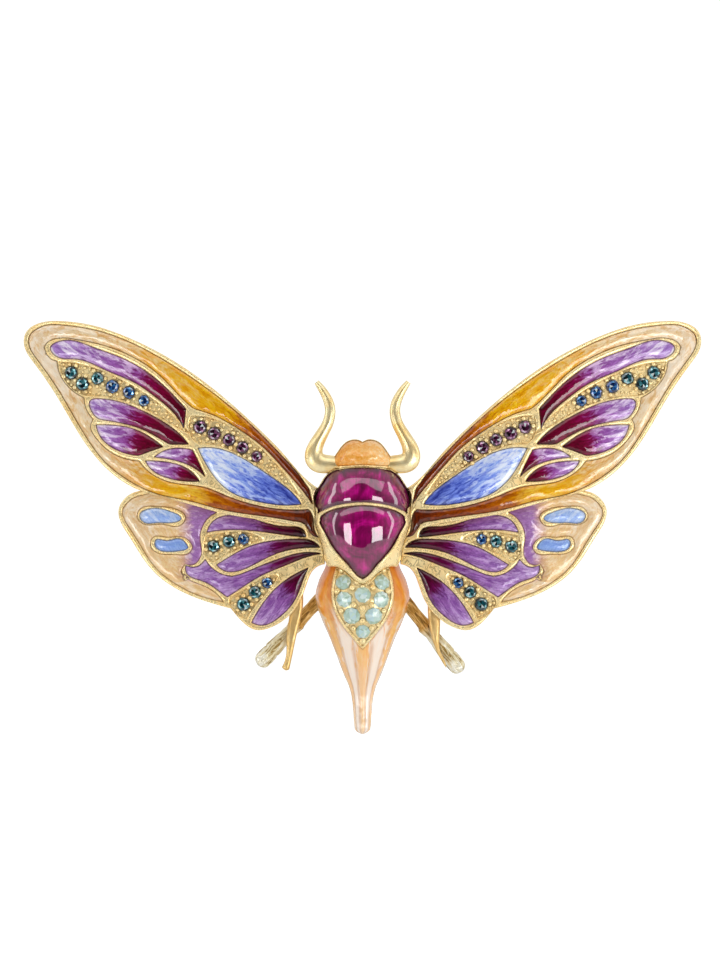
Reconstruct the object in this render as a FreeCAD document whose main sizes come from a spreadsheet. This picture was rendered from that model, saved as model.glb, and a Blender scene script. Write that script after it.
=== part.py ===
"""A winged-insect brooch: gilt castings with enamel cells, set stones and a pin with a turning catch.

X runs along the wings, Z points to the head and -Y faces the viewer, from an origin at the middle of
the pin stem. Lengths are millimetres.
"""
import FreeCAD, Part
import math
import os

from FreeCAD import Placement, Rotation, Vector

doc = FreeCAD.newDocument("brooch")
sheet = doc.addObject("Spreadsheet::Sheet", "sizes")

DRIVING_SIZES = {
    # The wings lie on upright cylinders that share one axis behind the brooch.
    "arch_axis": 194.8,
    "arch_radius": 200,
    "arch_height": 90,
    "stock_depth": 16,
    "plate": 0.75,
    "wall": 0.55,
    "enamel_depth": 0.45,
    "pave_depth": 0.35,
    "leaf_leg": 0.85,
    # The domed castings of the body.
    "body_back": -5.2,
    "dome_enamel": 0.5,
    "thorax_wide": 7.2,
    "thorax_deep": 8.5,
    "thorax_tall": 12,
    "thorax_middle": -1.5,
    "thorax_centre": -4,
    "head_wide": 5.2,
    "head_deep": 6.3,
    "head_tall": 4.2,
    "head_middle": 6.5,
    "head_centre": -4.5,
    "abdomen_back": -4,
    "abdomen_axis": -3.2,
    "abdomen_top": -8,
    "abdomen_tilt": -6.2,
    "setting_rise": 0.45,
    "horn_front": -8.9,
    "horn_depth": 1.7,
    # Stones.
    "stone_large": 0.93,
    "stone_medium": 0.88,
    "stone_small": 0.77,
    "opal_large": 1.1,
    "opal_medium": 1.0,
    "opal_small": 0.87,
    "girdle": 0.1,
    "opal_seat": 0.4,
    # Proportions of a stone to its radius.
    "crown": 0.38,
    "table": 0.55,
    "pavilion": 0.7,
    "culet": 0.1,
    "seat": 0.75,
    "opal_rise": 0.5,
    # Rod legs.
    "rod_radius": 1.02,
    "knot_radius": 0.32,
    "foot_radius": 1.12,
    "foot_long": 2.4,
    # Pin, hinge and catch.
    "stem_radius": 0.5,
    "stem_half": 12,
    "collar_radius": 0.75,
    "collar_long": 0.75,
    "neck_radius": 0.42,
    "neck_taper": 0.5,
    "stem_end": 15.6,
    "stem_point": 2.4,
    "hinge_place": -14,
    "eye_radius": 1.15,
    "eye_thick": 1.1,
    "rivet_radius": 0.5,
    "rivet_running": 0.04,
    "lug_gap": 1.3,
    "lug_thick": 0.7,
    "rivet_head": 0.8,
    "rivet_head_thick": 0.25,
    "foot_plate_back": -4.1,
    "foot_plate_long": 5,
    "foot_plate_tall": 4,
    "catch_place": 14.2,
    "catch_long": 2.4,
    "catch_outer": 1.95,
    "catch_bore": 1.35,
    "catch_slot": 1.3,
    "barrel_running": 0.05,
    "barrel_bore": 0.6,
    "barrel_slot": 1.2,
    "flange_radius": 1.7,
    "flange_thick": 0.35,
    "post_tall": 1.9,
    "tab_long": 1.6,
    "tab_thick": 0.5,
    "tab_wide": 1.3,
}
for row, (name, value) in enumerate(DRIVING_SIZES.items(), start=1):
    sheet.set(f"A{row}", str(value))
    sheet.setAlias(f"A{row}", name)
doc.recompute()
size = DRIVING_SIZES
nodes = {}

# Outlines seen from the front, as (x, z). Each inner list is one smooth run that starts where the one
# before it stopped, so an outline closes on its last point; an outline of one run is a closed curve.
# Wing outlines are those of the right wing.
FOREWING = [
    [(7.4, 4.1), (10, 7), (14, 11.1), (19.9, 16.25), (26, 20.4), (32, 23.3), (36, 24.6), (40, 25.15),
     (42.9, 24.95), (44.9, 23.6), (45.1, 22), (43.7, 19.5), (40.5, 14.9), (37.5, 9.9), (33.7, 5.3),
     (30, 2.85), (25, 1.4), (19, -0.25), (13, -1.3), (8, -2.3), (5.3, -3.9)],
    [(5.2, 2.6)],
]
FOREWING_CELLS = {
    "border_enamel": [[
        [(7.5, 3.4), (10, 6.5), (14, 10.6), (19.9, 15.6), (26, 19.7), (32, 22.75), (36, 24), (40, 24.6),
         (42.6, 24.45), (43.9, 23.4), (43.85, 21.7), (42.2, 18.8), (39.9, 15.2), (36.7, 9.8),
         (33.85, 6.15), (31, 4), (27, 2.15), (22.9, 1.3), (19, 0.25), (12, -0.86), (8.9, -1.4)],
        [(7.6, -1.8), (6.9, -2.95), (5.8, -3.5)],
        [(6.4, -2.25), (6.55, -0.85), (7.2, 0.1)],
        [(12, 0.27), (15, 0.9), (18.1, 1.95), (20.9, 3.04), (25, 3.6), (27.65, 4.65), (29.55, 6.5)],
        [(31.3, 6.8), (33.4, 7.7), (35.3, 9.5), (36.1, 11.1), (35.7, 12.05)],
        [(36.4, 12.9), (36.95, 14.9)],
        [(38.5, 15.85), (40.05, 17.7), (40.6, 19.8)],
        [(41.95, 20.65), (42.2, 22), (40.9, 22.8), (38, 22.7), (34, 21.8), (30, 20.1), (27, 18.05),
         (24.6, 15.6), (22.2, 13.4)],
        [(19.2, 12.4), (16, 10.55), (13, 8.3), (10, 5.1), (8, 2.8), (6.6, 0.9)],
    ]],
    "tip_enamel": [[
        [(25, 15.2), (28, 17.9), (32, 20.2), (36, 21.7), (40.4, 22.4), (41.55, 21.6), (40.75, 20.5),
         (38.1, 20.1), (34, 18.6), (30, 16.85), (27, 14.75), (25, 13), (23.6, 10.8)],
        [(23.35, 13.4)],
    ]],
    "middle_enamel": [[
        [(24, 9.9), (28, 12.6), (32, 14.3), (34.5, 14.75), (36.2, 14.5), (36, 13.3), (34.7, 12.05)],
        [(32, 11.6), (29, 10.7), (27, 9.65), (25.5, 8.75)],
        [(23, 8.75)],
    ]],
    "lower_enamel": [[
        [(28, 9.6), (30, 10.65), (32, 11.15), (35.3, 11.3)],
        [(34.85, 9.95), (32.7, 8.1), (29.6, 7.25)],
        [(27.5, 8.05), (26.4, 8.4)],
    ]],
    "blue_enamel": [[
        [(8.9, 1.95), (11, 3.7), (14, 5.75), (18.1, 7.9), (21.7, 8.2)],
        [(20.6, 6.05), (19, 3.8), (17, 2.25), (14, 1.25), (11, 0.76), (8.1, 0.85)],
    ]],
    "inner_enamel": [[
        [(24, 8.2), (26, 7.95), (27.5, 7.05)],
        [(25, 6.7), (23, 6.05), (20.8, 4.5)],
        [(21.75, 6.6), (22.45, 7.95)],
    ]],
    "corner_enamel": [[
        [(23, 5.4), (25, 6.2), (28.7, 6.55)],
        [(28.1, 5.6), (26, 4.4), (24, 3.95), (21.55, 3.85)],
    ]],
}
FOREWING_SETTINGS = [
    [[(26, 13.25), (29, 15.5), (32, 17.2), (36, 18.9), (40.2, 19.6)],
     [(39.7, 17.8), (38.3, 16.1), (36.7, 15.3)],
     [(34, 15.1), (30, 14.1), (26, 11.9), (23, 10.3)]],
    [[(10.2, 4.6), (12.4, 7.1), (16, 10.1), (19, 11.75), (22.6, 12.4)],
     [(22.2, 9.3), (21.5, 8.8)],
     [(18, 8.35), (15, 6.8), (12, 4.9), (8.6, 2.2)]],
]
# Stones as (x, z, size).
FOREWING_STONES = {
    "teal_crystals": [(38.65, 18.25, "stone_large"), (37.1, 16.75, "stone_large"),
                      (35.1, 17.5, "stone_medium")],
    "blue_crystals": [(33.1, 16.4, "stone_large"), (30.9, 15.6, "stone_medium"), (28.9, 14.5, "stone_small")],
    "amethysts": [(21.4, 11.0, "stone_large"), (19.55, 10.15, "stone_large"), (17.6, 9.3, "stone_medium"),
                  (15.8, 8.3, "stone_medium"), (13.95, 7.1, "stone_small")],
}
HINDWING = [
    [(12, 3), (20, 3.2), (26, 3.2), (29.7, 2.55)],
    [(31.9, 1.25), (32.45, 0), (32.15, -1.55), (30.9, -3.6), (29.3, -6.15), (27.5, -8.35),
     (25.2, -10.1), (21.8, -11.7), (17.4, -13)],
    [(16.05, -14.6), (14, -15.85), (12, -15.45), (10, -14.2), (8.25, -12), (7.4, -9.8), (6.6, -8), (5, -7.1)],
    [(4.5, -3)],
    [(5, 2.5)],
]
EYE_RIMS = [
    [[(23.6, -0.4), (25.2, 0.35), (27.5, 0.55), (29.4, 0.3), (29.95, -0.95), (28.9, -1.9), (26.5, -1.85),
      (24.4, -2.15), (23.4, -1.05)]],
    [[(22.7, -4.3), (24, -3.45), (26, -3.55), (27.75, -3.5), (28.15, -4.75), (26.8, -5.8), (25, -5.85),
      (23, -5.7), (22.5, -5)]],
]
HINDWING_CELLS = {
    "border_enamel": [[
        [(28, 1.75), (30.4, 1.2), (31.85, 0.1), (31.45, -1.55), (30.2, -3.4), (28.7, -5.9), (26.95, -8.1),
         (25, -9.6), (22.9, -10.75), (20, -11.75), (18.4, -12.1)],
        [(19, -11.35), (21, -10), (22.9, -9.25), (23.95, -8.2), (23.5, -7.1)],
        [(22, -6.95), (21.35, -5.8), (21.55, -3.6), (20.95, -1.65), (19.35, -0.27)],
        [(21, 0.5), (25, 1.7), (26.5, 1.75)],
    ]] + EYE_RIMS,
    "eye_enamels": [
        [[(24.4, -0.6), (26, 0), (28.6, 0.1), (29.6, -0.6), (29.15, -1.5), (27.3, -1.6), (25.1, -1.6),
          (24, -1.05)]],
        [[(23.4, -4.35), (24.5, -3.75), (26.2, -4.05), (27.4, -3.85), (27.5, -4.75), (25.8, -5.45),
          (23.95, -5.3), (23.1, -5)]],
    ],
    "upper_enamel": [[
        [(7.9, -2.45), (10, -2.15), (14, -1.3), (17.2, -0.65), (19, -0.95), (20.6, -2.9)],
        [(18, -2.55), (15, -2.6), (11, -3.1), (7.5, -3.5)],
    ]],
    "middle_enamel": [[
        [(6.3, -4.2), (9, -3.8), (12, -4.05), (15, -4.8), (17.5, -6.1), (19.3, -7.2)],
        [(18.1, -8.05), (15, -7.45), (13, -6.4), (10, -5.25), (7.5, -4.9), (5.65, -4.85)],
    ]],
    "lower_enamel": [[
        [(7.45, -5.55), (11, -6.4), (15, -8), (17.5, -8.7), (19.4, -8.05), (20.8, -6.5)],
        [(22.2, -7.55), (23.4, -7.3)],
        [(23.3, -8.35), (21, -9.4), (19, -10.65), (17.9, -11.45)],
        [(16, -10.2), (13, -8.4), (10, -7.15), (7, -6), (5.5, -5.7)],
    ]],
    "leaf_enamel": [[
        [(9, -8.5), (11, -9.9), (13, -12.1), (14.65, -14.8)],
        [(13, -15.15), (11, -14.1), (9, -11.9), (8.1, -9.8), (7.2, -7.6)],
    ]],
}
HINDWING_SETTINGS = [
    [[(15, -3.05), (18, -3), (20.6, -3.4)],
     [(20.85, -4.5), (20.6, -6.15), (19.8, -6.8)],
     [(17.9, -5.75), (15.5, -4.6), (13.3, -3.8)]],
    [[(13, -8.9), (15, -10.1), (16.8, -11.2)],
     [(17.6, -12.1), (16.3, -13.8), (15.3, -14.3)],
     [(14, -12.25), (12, -9.95), (11.3, -8.7)]],
]
HINDWING_STONES = {
    "teal_crystals": [(19.7, -4.75, "stone_medium"), (17.65, -4.1, "stone_medium"),
                      (15.7, -12.4, "stone_large"), (14.2, -10.8, "stone_medium")],
    "blue_crystals": [(15.75, -3.8, "stone_small"), (12.6, -9.55, "stone_small")],
}
# Right halves of the body's outlines: a point on the centreline, then the runs back to the centreline.
THORAX = (0, 5.75), [
    [(2.1, 5.65), (3.7, 5.4)],
    [(4.6, 4.9), (5.8, 3.2), (6.4, 2), (6.3, 0.6), (6.15, -0.65)],
    [(6.3, -1.3), (5.9, -2.6), (5.5, -3.9), (5.1, -5.3)],
    [(5, -6.5), (4.5, -7.4)],
    [(3.2, -7.4), (1.9, -8.2), (0.9, -9.2), (0, -9.6)],
]
THORAX_UPPER = (0, 5.5), [
    [(2.1, 5.4), (3.5, 5.15)],
    [(4.3, 4.7), (5.5, 3.05), (6.1, 1.9), (6, 0.7), (5.8, -0.35)],
    [(5.1, 0.05), (4, 0.52), (2, 0.95), (0, 1.12)],
]
THORAX_LOWER = (0, 0.76), [
    [(2, 0.59), (4, 0.14), (5.6, -0.7)],
    [(5.85, -1.4), (5.5, -2.6), (5.1, -3.9), (4.4, -5.1), (3.4, -6.1), (2.2, -7.1), (1.3, -8), (0, -8.8)],
]
HEAD = (0, 9.05), [
    [(0.9, 9.4), (2.1, 9.1), (3.46, 7.5), (4.2, 6.1), (4.2, 5.3)],
    [(0, 5.3)],
]
HEAD_CELL = (0, 8.85), [
    [(0.9, 9.2), (2.05, 8.9), (3.3, 7.4), (4, 6.1), (4, 5.85)],
    [(2.1, 6), (0, 6.1)],
]
SETTING_PLATE = (0, -7.2), [
    [(3.4, -7.2)],
    [(3.8, -8.8), (3.9, -10.8), (3.65, -12.4), (3, -13.85), (2.35, -15.1), (1.45, -16.4), (0.6, -17.5),
     (0, -18.1)],
]
HORN = [
    [(5.6, 5), (6.9, 5.2), (7.85, 6.8), (7.6, 8.9), (6.2, 10.5), (5.1, 11.9), (5, 13.6), (5.9, 15.35),
     (6.75, 16.75)],
    [(6.1, 16.6)],
    [(5, 15), (3.95, 13.3), (3.75, 11.8), (4.7, 9.5), (5.8, 8), (5.95, 7.3)],
    [(5, 7.1), (4, 7.1)],
    [(4.2, 5.3)],
]
# The abdomen's half-width from its waist to its tail.
ABDOMEN_PROFILE = [
    (4.9, -7.2), (5.8, -9.1), (6.3, -11.3), (6.1, -13), (5.55, -15), (4.75, -17), (3.9, -18.8), (2.5, -22),
    (1.5, -24.4), (1.1, -27.3), (0.85, -28.8),
]
ABDOMEN_TOP = -7
ABDOMEN_TAIL = -29.7
OPALS = [
    (-2.4, -9.35, "opal_medium"), (2.4, -9.35, "opal_medium"), (0, -11, "opal_medium"),
    (-2.3, -11.65, "opal_medium"), (2.3, -11.65, "opal_medium"),
    (-1.35, -13.8, "opal_large"), (1.35, -13.8, "opal_large"), (0, -15.9, "opal_small"),
]
LEAF_LEGS = {
    "left_middle_leg": [
        [(8, -13.5), (8.7, -16.4), (9.2, -18.8), (9.7, -21.1)],
        [(10.1, -21.3), (10.7, -20.8)],
        [(10.1, -18.9), (10.1, -16.8), (9.8, -14.6), (9.8, -10.8)],
        [(7.9, -10.8)],
    ],
    "right_middle_leg": [
        [(8.7, -14.4), (9.2, -17), (10, -19.1), (11.1, -20.95)],
        [(11.05, -20.3), (10.25, -18.4), (10.25, -16.4), (10.3, -14.5), (10.3, -10.8)],
        [(8.8, -10.8)],
    ],
}
# Rod legs as the ends of their middle lines and the place of the knot between them.
ROD_LEGS = {
    "left_hind_leg": ((-4.6, -10.7), (-13.2, -19.9), (-7.9, -15)),
    "right_hind_leg": ((4.6, -10.8), (12.6, -20.7), (8.3, -15.8)),
}
SIDES = {"left": -1, "right": 1}


def add(kind, name, expressions=None, **values):
    """Add one object; expressions bind its sizes to the sheet."""
    item = doc.addObject(kind, name)
    for prop, value in values.items():
        setattr(item, prop, value)
    for prop, expression in (expressions or {}).items():
        item.setExpression(prop, expression)
    return item


def node(name, item):
    """Make an object one of the brooch's pieces."""
    item.Label = name
    nodes[name] = item
    return item


def cut(name, base, tool):
    return add("Part::Cut", name, Base=base, Tool=tool)


def common(name, base, tool):
    return add("Part::Common", name, Base=base, Tool=tool)


def fuse(name, items):
    return add("Part::MultiFuse", name, Shapes=items)


def mirrored(half):
    """The whole outline of a right half."""
    top, runs = half
    starts = [top] + [run[-1] for run in runs]
    left = []
    for start, run in reversed(list(zip(starts, runs))):
        left.append([(-x, z) for x, z in reversed([start] + run)][1:])
    return runs + left


def draw(sketch, outline, side):
    pen = outline[-1][-1]
    for run in outline:
        points = [Vector(side * x, z, 0) for x, z in [pen] + run]
        pen = run[-1]
        if len(points) == 2:
            sketch.addGeometry(Part.LineSegment(*points))
            continue
        curve = Part.BSplineCurve()
        if len(outline) == 1:
            curve.interpolate(points[1:], PeriodicFlag=True)
        else:
            curve.interpolate(points)
        sketch.addGeometry(curve)


def front_sketch(body):
    plane = next(item for item in body.Origin.OriginFeatures if item.Role == "XZ_Plane")
    sketch = body.newObject("Sketcher::SketchObject", body.Name + "_sketch")
    sketch.AttachmentSupport = [(plane, "")]
    sketch.MapMode = "FlatFace"
    return sketch


def prism(name, outlines, side=1):
    """Outlines drawn from the front and padded towards the viewer."""
    body = doc.addObject("PartDesign::Body", name)
    sketch = front_sketch(body)
    for outline in outlines:
        draw(sketch, outline, side)
    pad = body.newObject("PartDesign::Pad", name + "_pad")
    pad.Profile = sketch
    pad.setExpression("Length", "sizes.stock_depth")
    return body


def arch(name, radius):
    """A solid cylinder about the wings' upright axis."""
    item = add("Part::Cylinder", name, {"Radius": radius, "Height": "sizes.arch_height"})
    item.Placement = Placement(Vector(0, size["arch_axis"], -size["arch_height"] / 2), Rotation())
    return item


def layer(name, inner, outer):
    return cut(name, arch(name + "_outer", outer), arch(name + "_inner", inner))


def radial_placement(x, z, radius):
    """On the arch of this radius, with local Z pointing out of the front."""
    depth = math.sqrt(radius**2 - x**2)
    return Placement(Vector(x, size["arch_axis"] - depth, z), Rotation(Vector(0, 0, 1), Vector(x, -depth, 0)))


def crystal(name, place, radius):
    """A round stone: a table and crown over a girdle, and a pavilion that ends in a small culet."""
    width = f"sizes.{radius}"
    pavilion = add("Part::Cone", name + "_pavilion", {"Radius1": f"{width} * sizes.culet", "Radius2": width,
                                                     "Height": f"{width} * sizes.pavilion"})
    pavilion.Placement = Placement(Vector(0, 0, -size["pavilion"] * size[radius]), Rotation())
    girdle = add("Part::Cylinder", name + "_girdle", {"Radius": width, "Height": "sizes.girdle"})
    crown = add("Part::Cone", name + "_crown", {"Radius1": width, "Radius2": f"{width} * sizes.table",
                                               "Height": f"{width} * sizes.crown"})
    crown.Placement = Placement(Vector(0, 0, size["girdle"]), Rotation())
    stone = fuse(name, [pavilion, girdle, crown])
    stone.Placement = place
    return stone


def opal(name, place, radius):
    """A low cabochon: a short cylinder in its seat under a cap of a sphere."""
    width = f"sizes.{radius}"
    base = add("Part::Cylinder", name + "_base",
               {"Radius": width, "Height": "sizes.opal_seat + sizes.girdle"})
    base.Placement = Placement(Vector(0, 0, -size["opal_seat"]), Rotation())
    cap = add("Part::Ellipsoid", name + "_cap",
              {"Radius1": f"{width} * sizes.opal_rise", "Radius2": width, "Radius3": width}, Angle1=0)
    cap.Placement = Placement(Vector(0, 0, size["girdle"]), Rotation())
    stone = fuse(name, [base, cap])
    stone.Placement = place
    return stone


def seat(name, place, radius, depth):
    """A drilled seat, open to the front."""
    item = add("Part::Cylinder", name, {"Radius": f"sizes.{radius}", "Height": f"{depth} + 1"})
    item.Placement = place.multiply(Placement(Vector(0, 0, -depth), Rotation()))
    return item


def stone_places(stones, side, level):
    return [(radial_placement(side * x, z, level), radius) for x, z, radius in stones]


def wing(label, side_name, outline, cells, settings, stones, back, thorax):
    """One cast wing with its enamel cells and the stones in its sunken settings."""
    side = SIDES[side_name]
    name = f"{side_name}_{label}"
    floor = f"{back} + sizes.plate"
    top = f"{floor} + sizes.wall"
    back_radius = size["arch_radius"] + (size["plate"] + size["wall"] if label == "forewing" else 0)
    setting_level = back_radius + size["plate"] + size["wall"] - size["pave_depth"]

    blank = common(name + "_blank", prism(name + "_stock", [outline], side), layer(name + "_body", back, top))
    cells_layer = layer(name + "_cells", floor, top)
    enamel_layer = layer(name + "_fill", floor, f"{floor} + sizes.enamel_depth")
    hollows = []
    for cell, outlines in cells.items():
        cell_prism = prism(f"{name}_{cell}_stock", outlines, side)
        hollows.append(common(f"{name}_{cell}_hollow", cell_prism, cells_layer))
        node(f"{name}_{cell}", common(f"{name}_{cell}", cell_prism, enamel_layer))
    sunk = layer(name + "_sunk", f"{top} - sizes.pave_depth", top)
    hollows.append(common(name + "_settings", prism(name + "_setting_stock", settings, side), sunk))
    for group, places in stones.items():
        members = []
        for number, (place, radius) in enumerate(stone_places(places, side, setting_level)):
            stone_name = f"{name}_{group}_{number}"
            members.append(crystal(stone_name, place, radius))
            hollows.append(seat(stone_name + "_seat", place, radius, size["seat"] * size[radius]))
        node(f"{name}_{group}", add("Part::Compound", f"{name}_{group}", Links=members))
    carved = cut(name + "_carved", blank, fuse(name + "_hollows", hollows))
    node(name + "_frame", cut(name + "_frame", carved, thorax))


def ellipsoid(name, part, less=""):
    """The dome of a body casting; less is what is taken off each half-width."""
    item = add("Part::Ellipsoid", name,
               {"Radius1": f"sizes.{part}_tall{less}", "Radius2": f"sizes.{part}_wide{less}",
                "Radius3": f"sizes.{part}_deep{less}"}, Angle1=-90)
    item.Placement = Placement(Vector(0, size[part + "_centre"], size[part + "_middle"]), Rotation())
    return item


def front_space(name, back):
    """Everything in front of an upright plane."""
    item = add("Part::Box", name, {"Length": "sizes.arch_height", "Height": "sizes.arch_height",
                                   "Width": "sizes.stock_depth"})
    half = size["arch_height"] / 2
    item.Placement = Placement(Vector(-half, size[back] - size["stock_depth"], -half), Rotation())
    return item


def domed_casting(part, outline, cells, neighbour=None):
    """A domed gilt casting and the enamel in its cells."""
    dome = ellipsoid(part + "_dome", part)
    core = ellipsoid(part + "_core", part, " - sizes.dome_enamel")
    stock = common(part + "_stock", prism(part + "_prism", [mirrored(outline)]),
                   front_space(part + "_space", "body_back"))
    blank = common(part + "_blank", stock, dome)
    shell = cut(part + "_shell", dome, core)
    skin = common(part + "_skin", shell, front_space(part + "_face", part + "_centre"))
    enamels = []
    for name, cell in cells.items():
        enamels.append(node(name, common(name, prism(name + "_prism", [mirrored(cell)]), skin)))
    carved = cut(part + "_carved", blank, fuse(part + "_cells", enamels) if len(enamels) > 1 else enamels[0])
    node(part + "_base", cut(part + "_base", carved, neighbour) if neighbour else carved)


def abdomen_solid(name, rise):
    """The abdomen turned about its own axis, with its surface moved out by rise."""
    body = doc.addObject("PartDesign::Body", name)
    sketch = front_sketch(body)
    edge = [Vector(half + rise, z, 0) for half, z in ABDOMEN_PROFILE] + [Vector(0, ABDOMEN_TAIL - rise, 0)]
    curve = Part.BSplineCurve()
    curve.interpolate(edge)
    top = Vector(0, ABDOMEN_TOP, 0)
    shoulder = Vector(edge[0].x, ABDOMEN_TOP, 0)
    sketch.addGeometry([curve, Part.LineSegment(edge[-1], top), Part.LineSegment(top, shoulder),
                        Part.LineSegment(shoulder, edge[0])])
    turned = body.newObject("PartDesign::Revolution", name + "_turned")
    turned.Profile = sketch
    turned.ReferenceAxis = (sketch, ["V_Axis"])
    turned.Angle = 360
    tilt = Rotation(Vector(1, 0, 0), size["abdomen_tilt"])
    waist = Vector(0, 0, size["abdomen_top"])
    body.Placement = Placement(Vector(0, size["abdomen_axis"], 0) + waist - tilt.multVec(waist), tilt)
    return body


def surface_placement(shape, x, z):
    """On the front of a shape, with local Z along its outward normal."""
    step = 0.2

    def front(px, pz):
        ray = Part.makeLine(Vector(px, -40, pz), Vector(px, size["abdomen_back"] - 1, pz))
        return min(vertex.Y for vertex in shape.common(ray).Vertexes)

    slope_x = (front(x + step, z) - front(x - step, z)) / (2 * step)
    slope_z = (front(x, z + step) - front(x, z - step)) / (2 * step)
    return Placement(Vector(x, front(x, z), z), Rotation(Vector(0, 0, 1), Vector(slope_x, -1, slope_z)))


def abdomen(thorax):
    """The tapering body: a gilt core, an enamel skin and a raised plate set with opals."""
    space = front_space("abdomen_space", "abdomen_back")
    core_turned = abdomen_solid("core_turned", -size["dome_enamel"])
    core = cut("abdomen_core", common("abdomen_core_front", core_turned, space), thorax)
    outer = cut("abdomen_outer", common("abdomen_front", abdomen_solid("skin_turned", 0), space), thorax)
    plate_turned = abdomen_solid("plate_turned", size["setting_rise"])
    raised = cut("plate_outer", common("plate_front", plate_turned, space), thorax)
    plate_prism = prism("plate_prism", [mirrored(SETTING_PLATE)])
    node("abdomen_base", core)
    skin = cut("abdomen_skin", outer, core)
    node("abdomen_enamel", cut("abdomen_enamel", skin, plate_prism))
    blank = cut("plate_blank", common("plate_raised", plate_prism, raised), core)
    doc.recompute()
    stones = []
    seats = []
    for number, (x, z, radius) in enumerate(OPALS):
        place = surface_placement(blank.Shape, x, z)
        stones.append(opal(f"opal_{number}", place, radius))
        seats.append(seat(f"opal_seat_{number}", place, radius, size["opal_seat"]))
    node("opals", add("Part::Compound", "opals", Links=stones))
    node("abdomen_setting_plate", cut("abdomen_setting_plate", blank, fuse("opal_seats", seats)))


def horn(side_name, head):
    side = SIDES[side_name]
    name = f"{side_name}_antenna"
    slab = add("Part::Box", name + "_slab", {"Length": "sizes.arch_height", "Height": "sizes.arch_height",
                                             "Width": "sizes.horn_depth"})
    half = size["arch_height"] / 2
    slab.Placement = Placement(Vector(-half, size["horn_front"], -half), Rotation())
    node(name, cut(name, common(name + "_blank", prism(name + "_prism", [HORN], side), slab), head))


def leaf_leg(name, outline):
    """A flat leg soldered to the back of a hindwing."""
    side = SIDES[name.split("_")[0]]
    behind = layer(name + "_layer", "sizes.arch_radius - sizes.leaf_leg", "sizes.arch_radius")
    node(name, common(name, prism(name + "_prism", [outline], side), behind))


def rod_leg(name, start, end, knot):
    """A round leg with a knot and a thicker, rounded foot, soldered to the abdomen's back."""
    axis_y = size["abdomen_back"] + size["rod_radius"]
    first = Vector(start[0], axis_y, start[1])
    last = Vector(end[0], axis_y, end[1])
    along = (last - first).normalize()
    turn = Rotation(Vector(0, 0, 1), along)
    rod = add("Part::Cylinder", name + "_rod", {"Radius": "sizes.rod_radius"}, Height=(last - first).Length)
    rod.Placement = Placement(first, turn)
    joint = add("Part::Torus", name + "_knot", {"Radius1": "sizes.rod_radius - 0.2",
                                                "Radius2": "sizes.knot_radius"})
    joint.Placement = Placement(Vector(knot[0], axis_y, knot[1]), turn)
    foot = add("Part::Cylinder", name + "_foot", {"Radius": "sizes.foot_radius", "Height": "sizes.foot_long"})
    foot.Placement = Placement(last - along * size["foot_long"], turn)
    toe = add("Part::Sphere", name + "_toe", {"Radius": "sizes.foot_radius"})
    toe.Placement = Placement(last, Rotation())
    node(name, fuse(name, [rod, joint, foot, toe]))


def cylinder(name, expressions, start, direction):
    item = add("Part::Cylinder", name, expressions)
    item.Placement = Placement(start, Rotation(Vector(0, 0, 1), direction))
    return item


def cone(name, expressions, start, direction):
    item = add("Part::Cone", name, expressions)
    item.Placement = Placement(start, Rotation(Vector(0, 0, 1), direction))
    return item


def block(name, x, y, z):
    """A box between pairs of coordinates."""
    item = add("Part::Box", name, Length=x[1] - x[0], Width=y[1] - y[0], Height=z[1] - z[0])
    item.Placement = Placement(Vector(x[0], y[0], z[0]), Rotation())
    return item


def foot_plate(name, place):
    """The plate that a finding is soldered on by; its front takes the wing's curve later."""
    half = size["foot_plate_long"] / 2
    return block(name, (place - half, place + half), (size["body_back"] - 0.5, size["foot_plate_back"]),
                 (-size["foot_plate_tall"] / 2, size["foot_plate_tall"] / 2))


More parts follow.
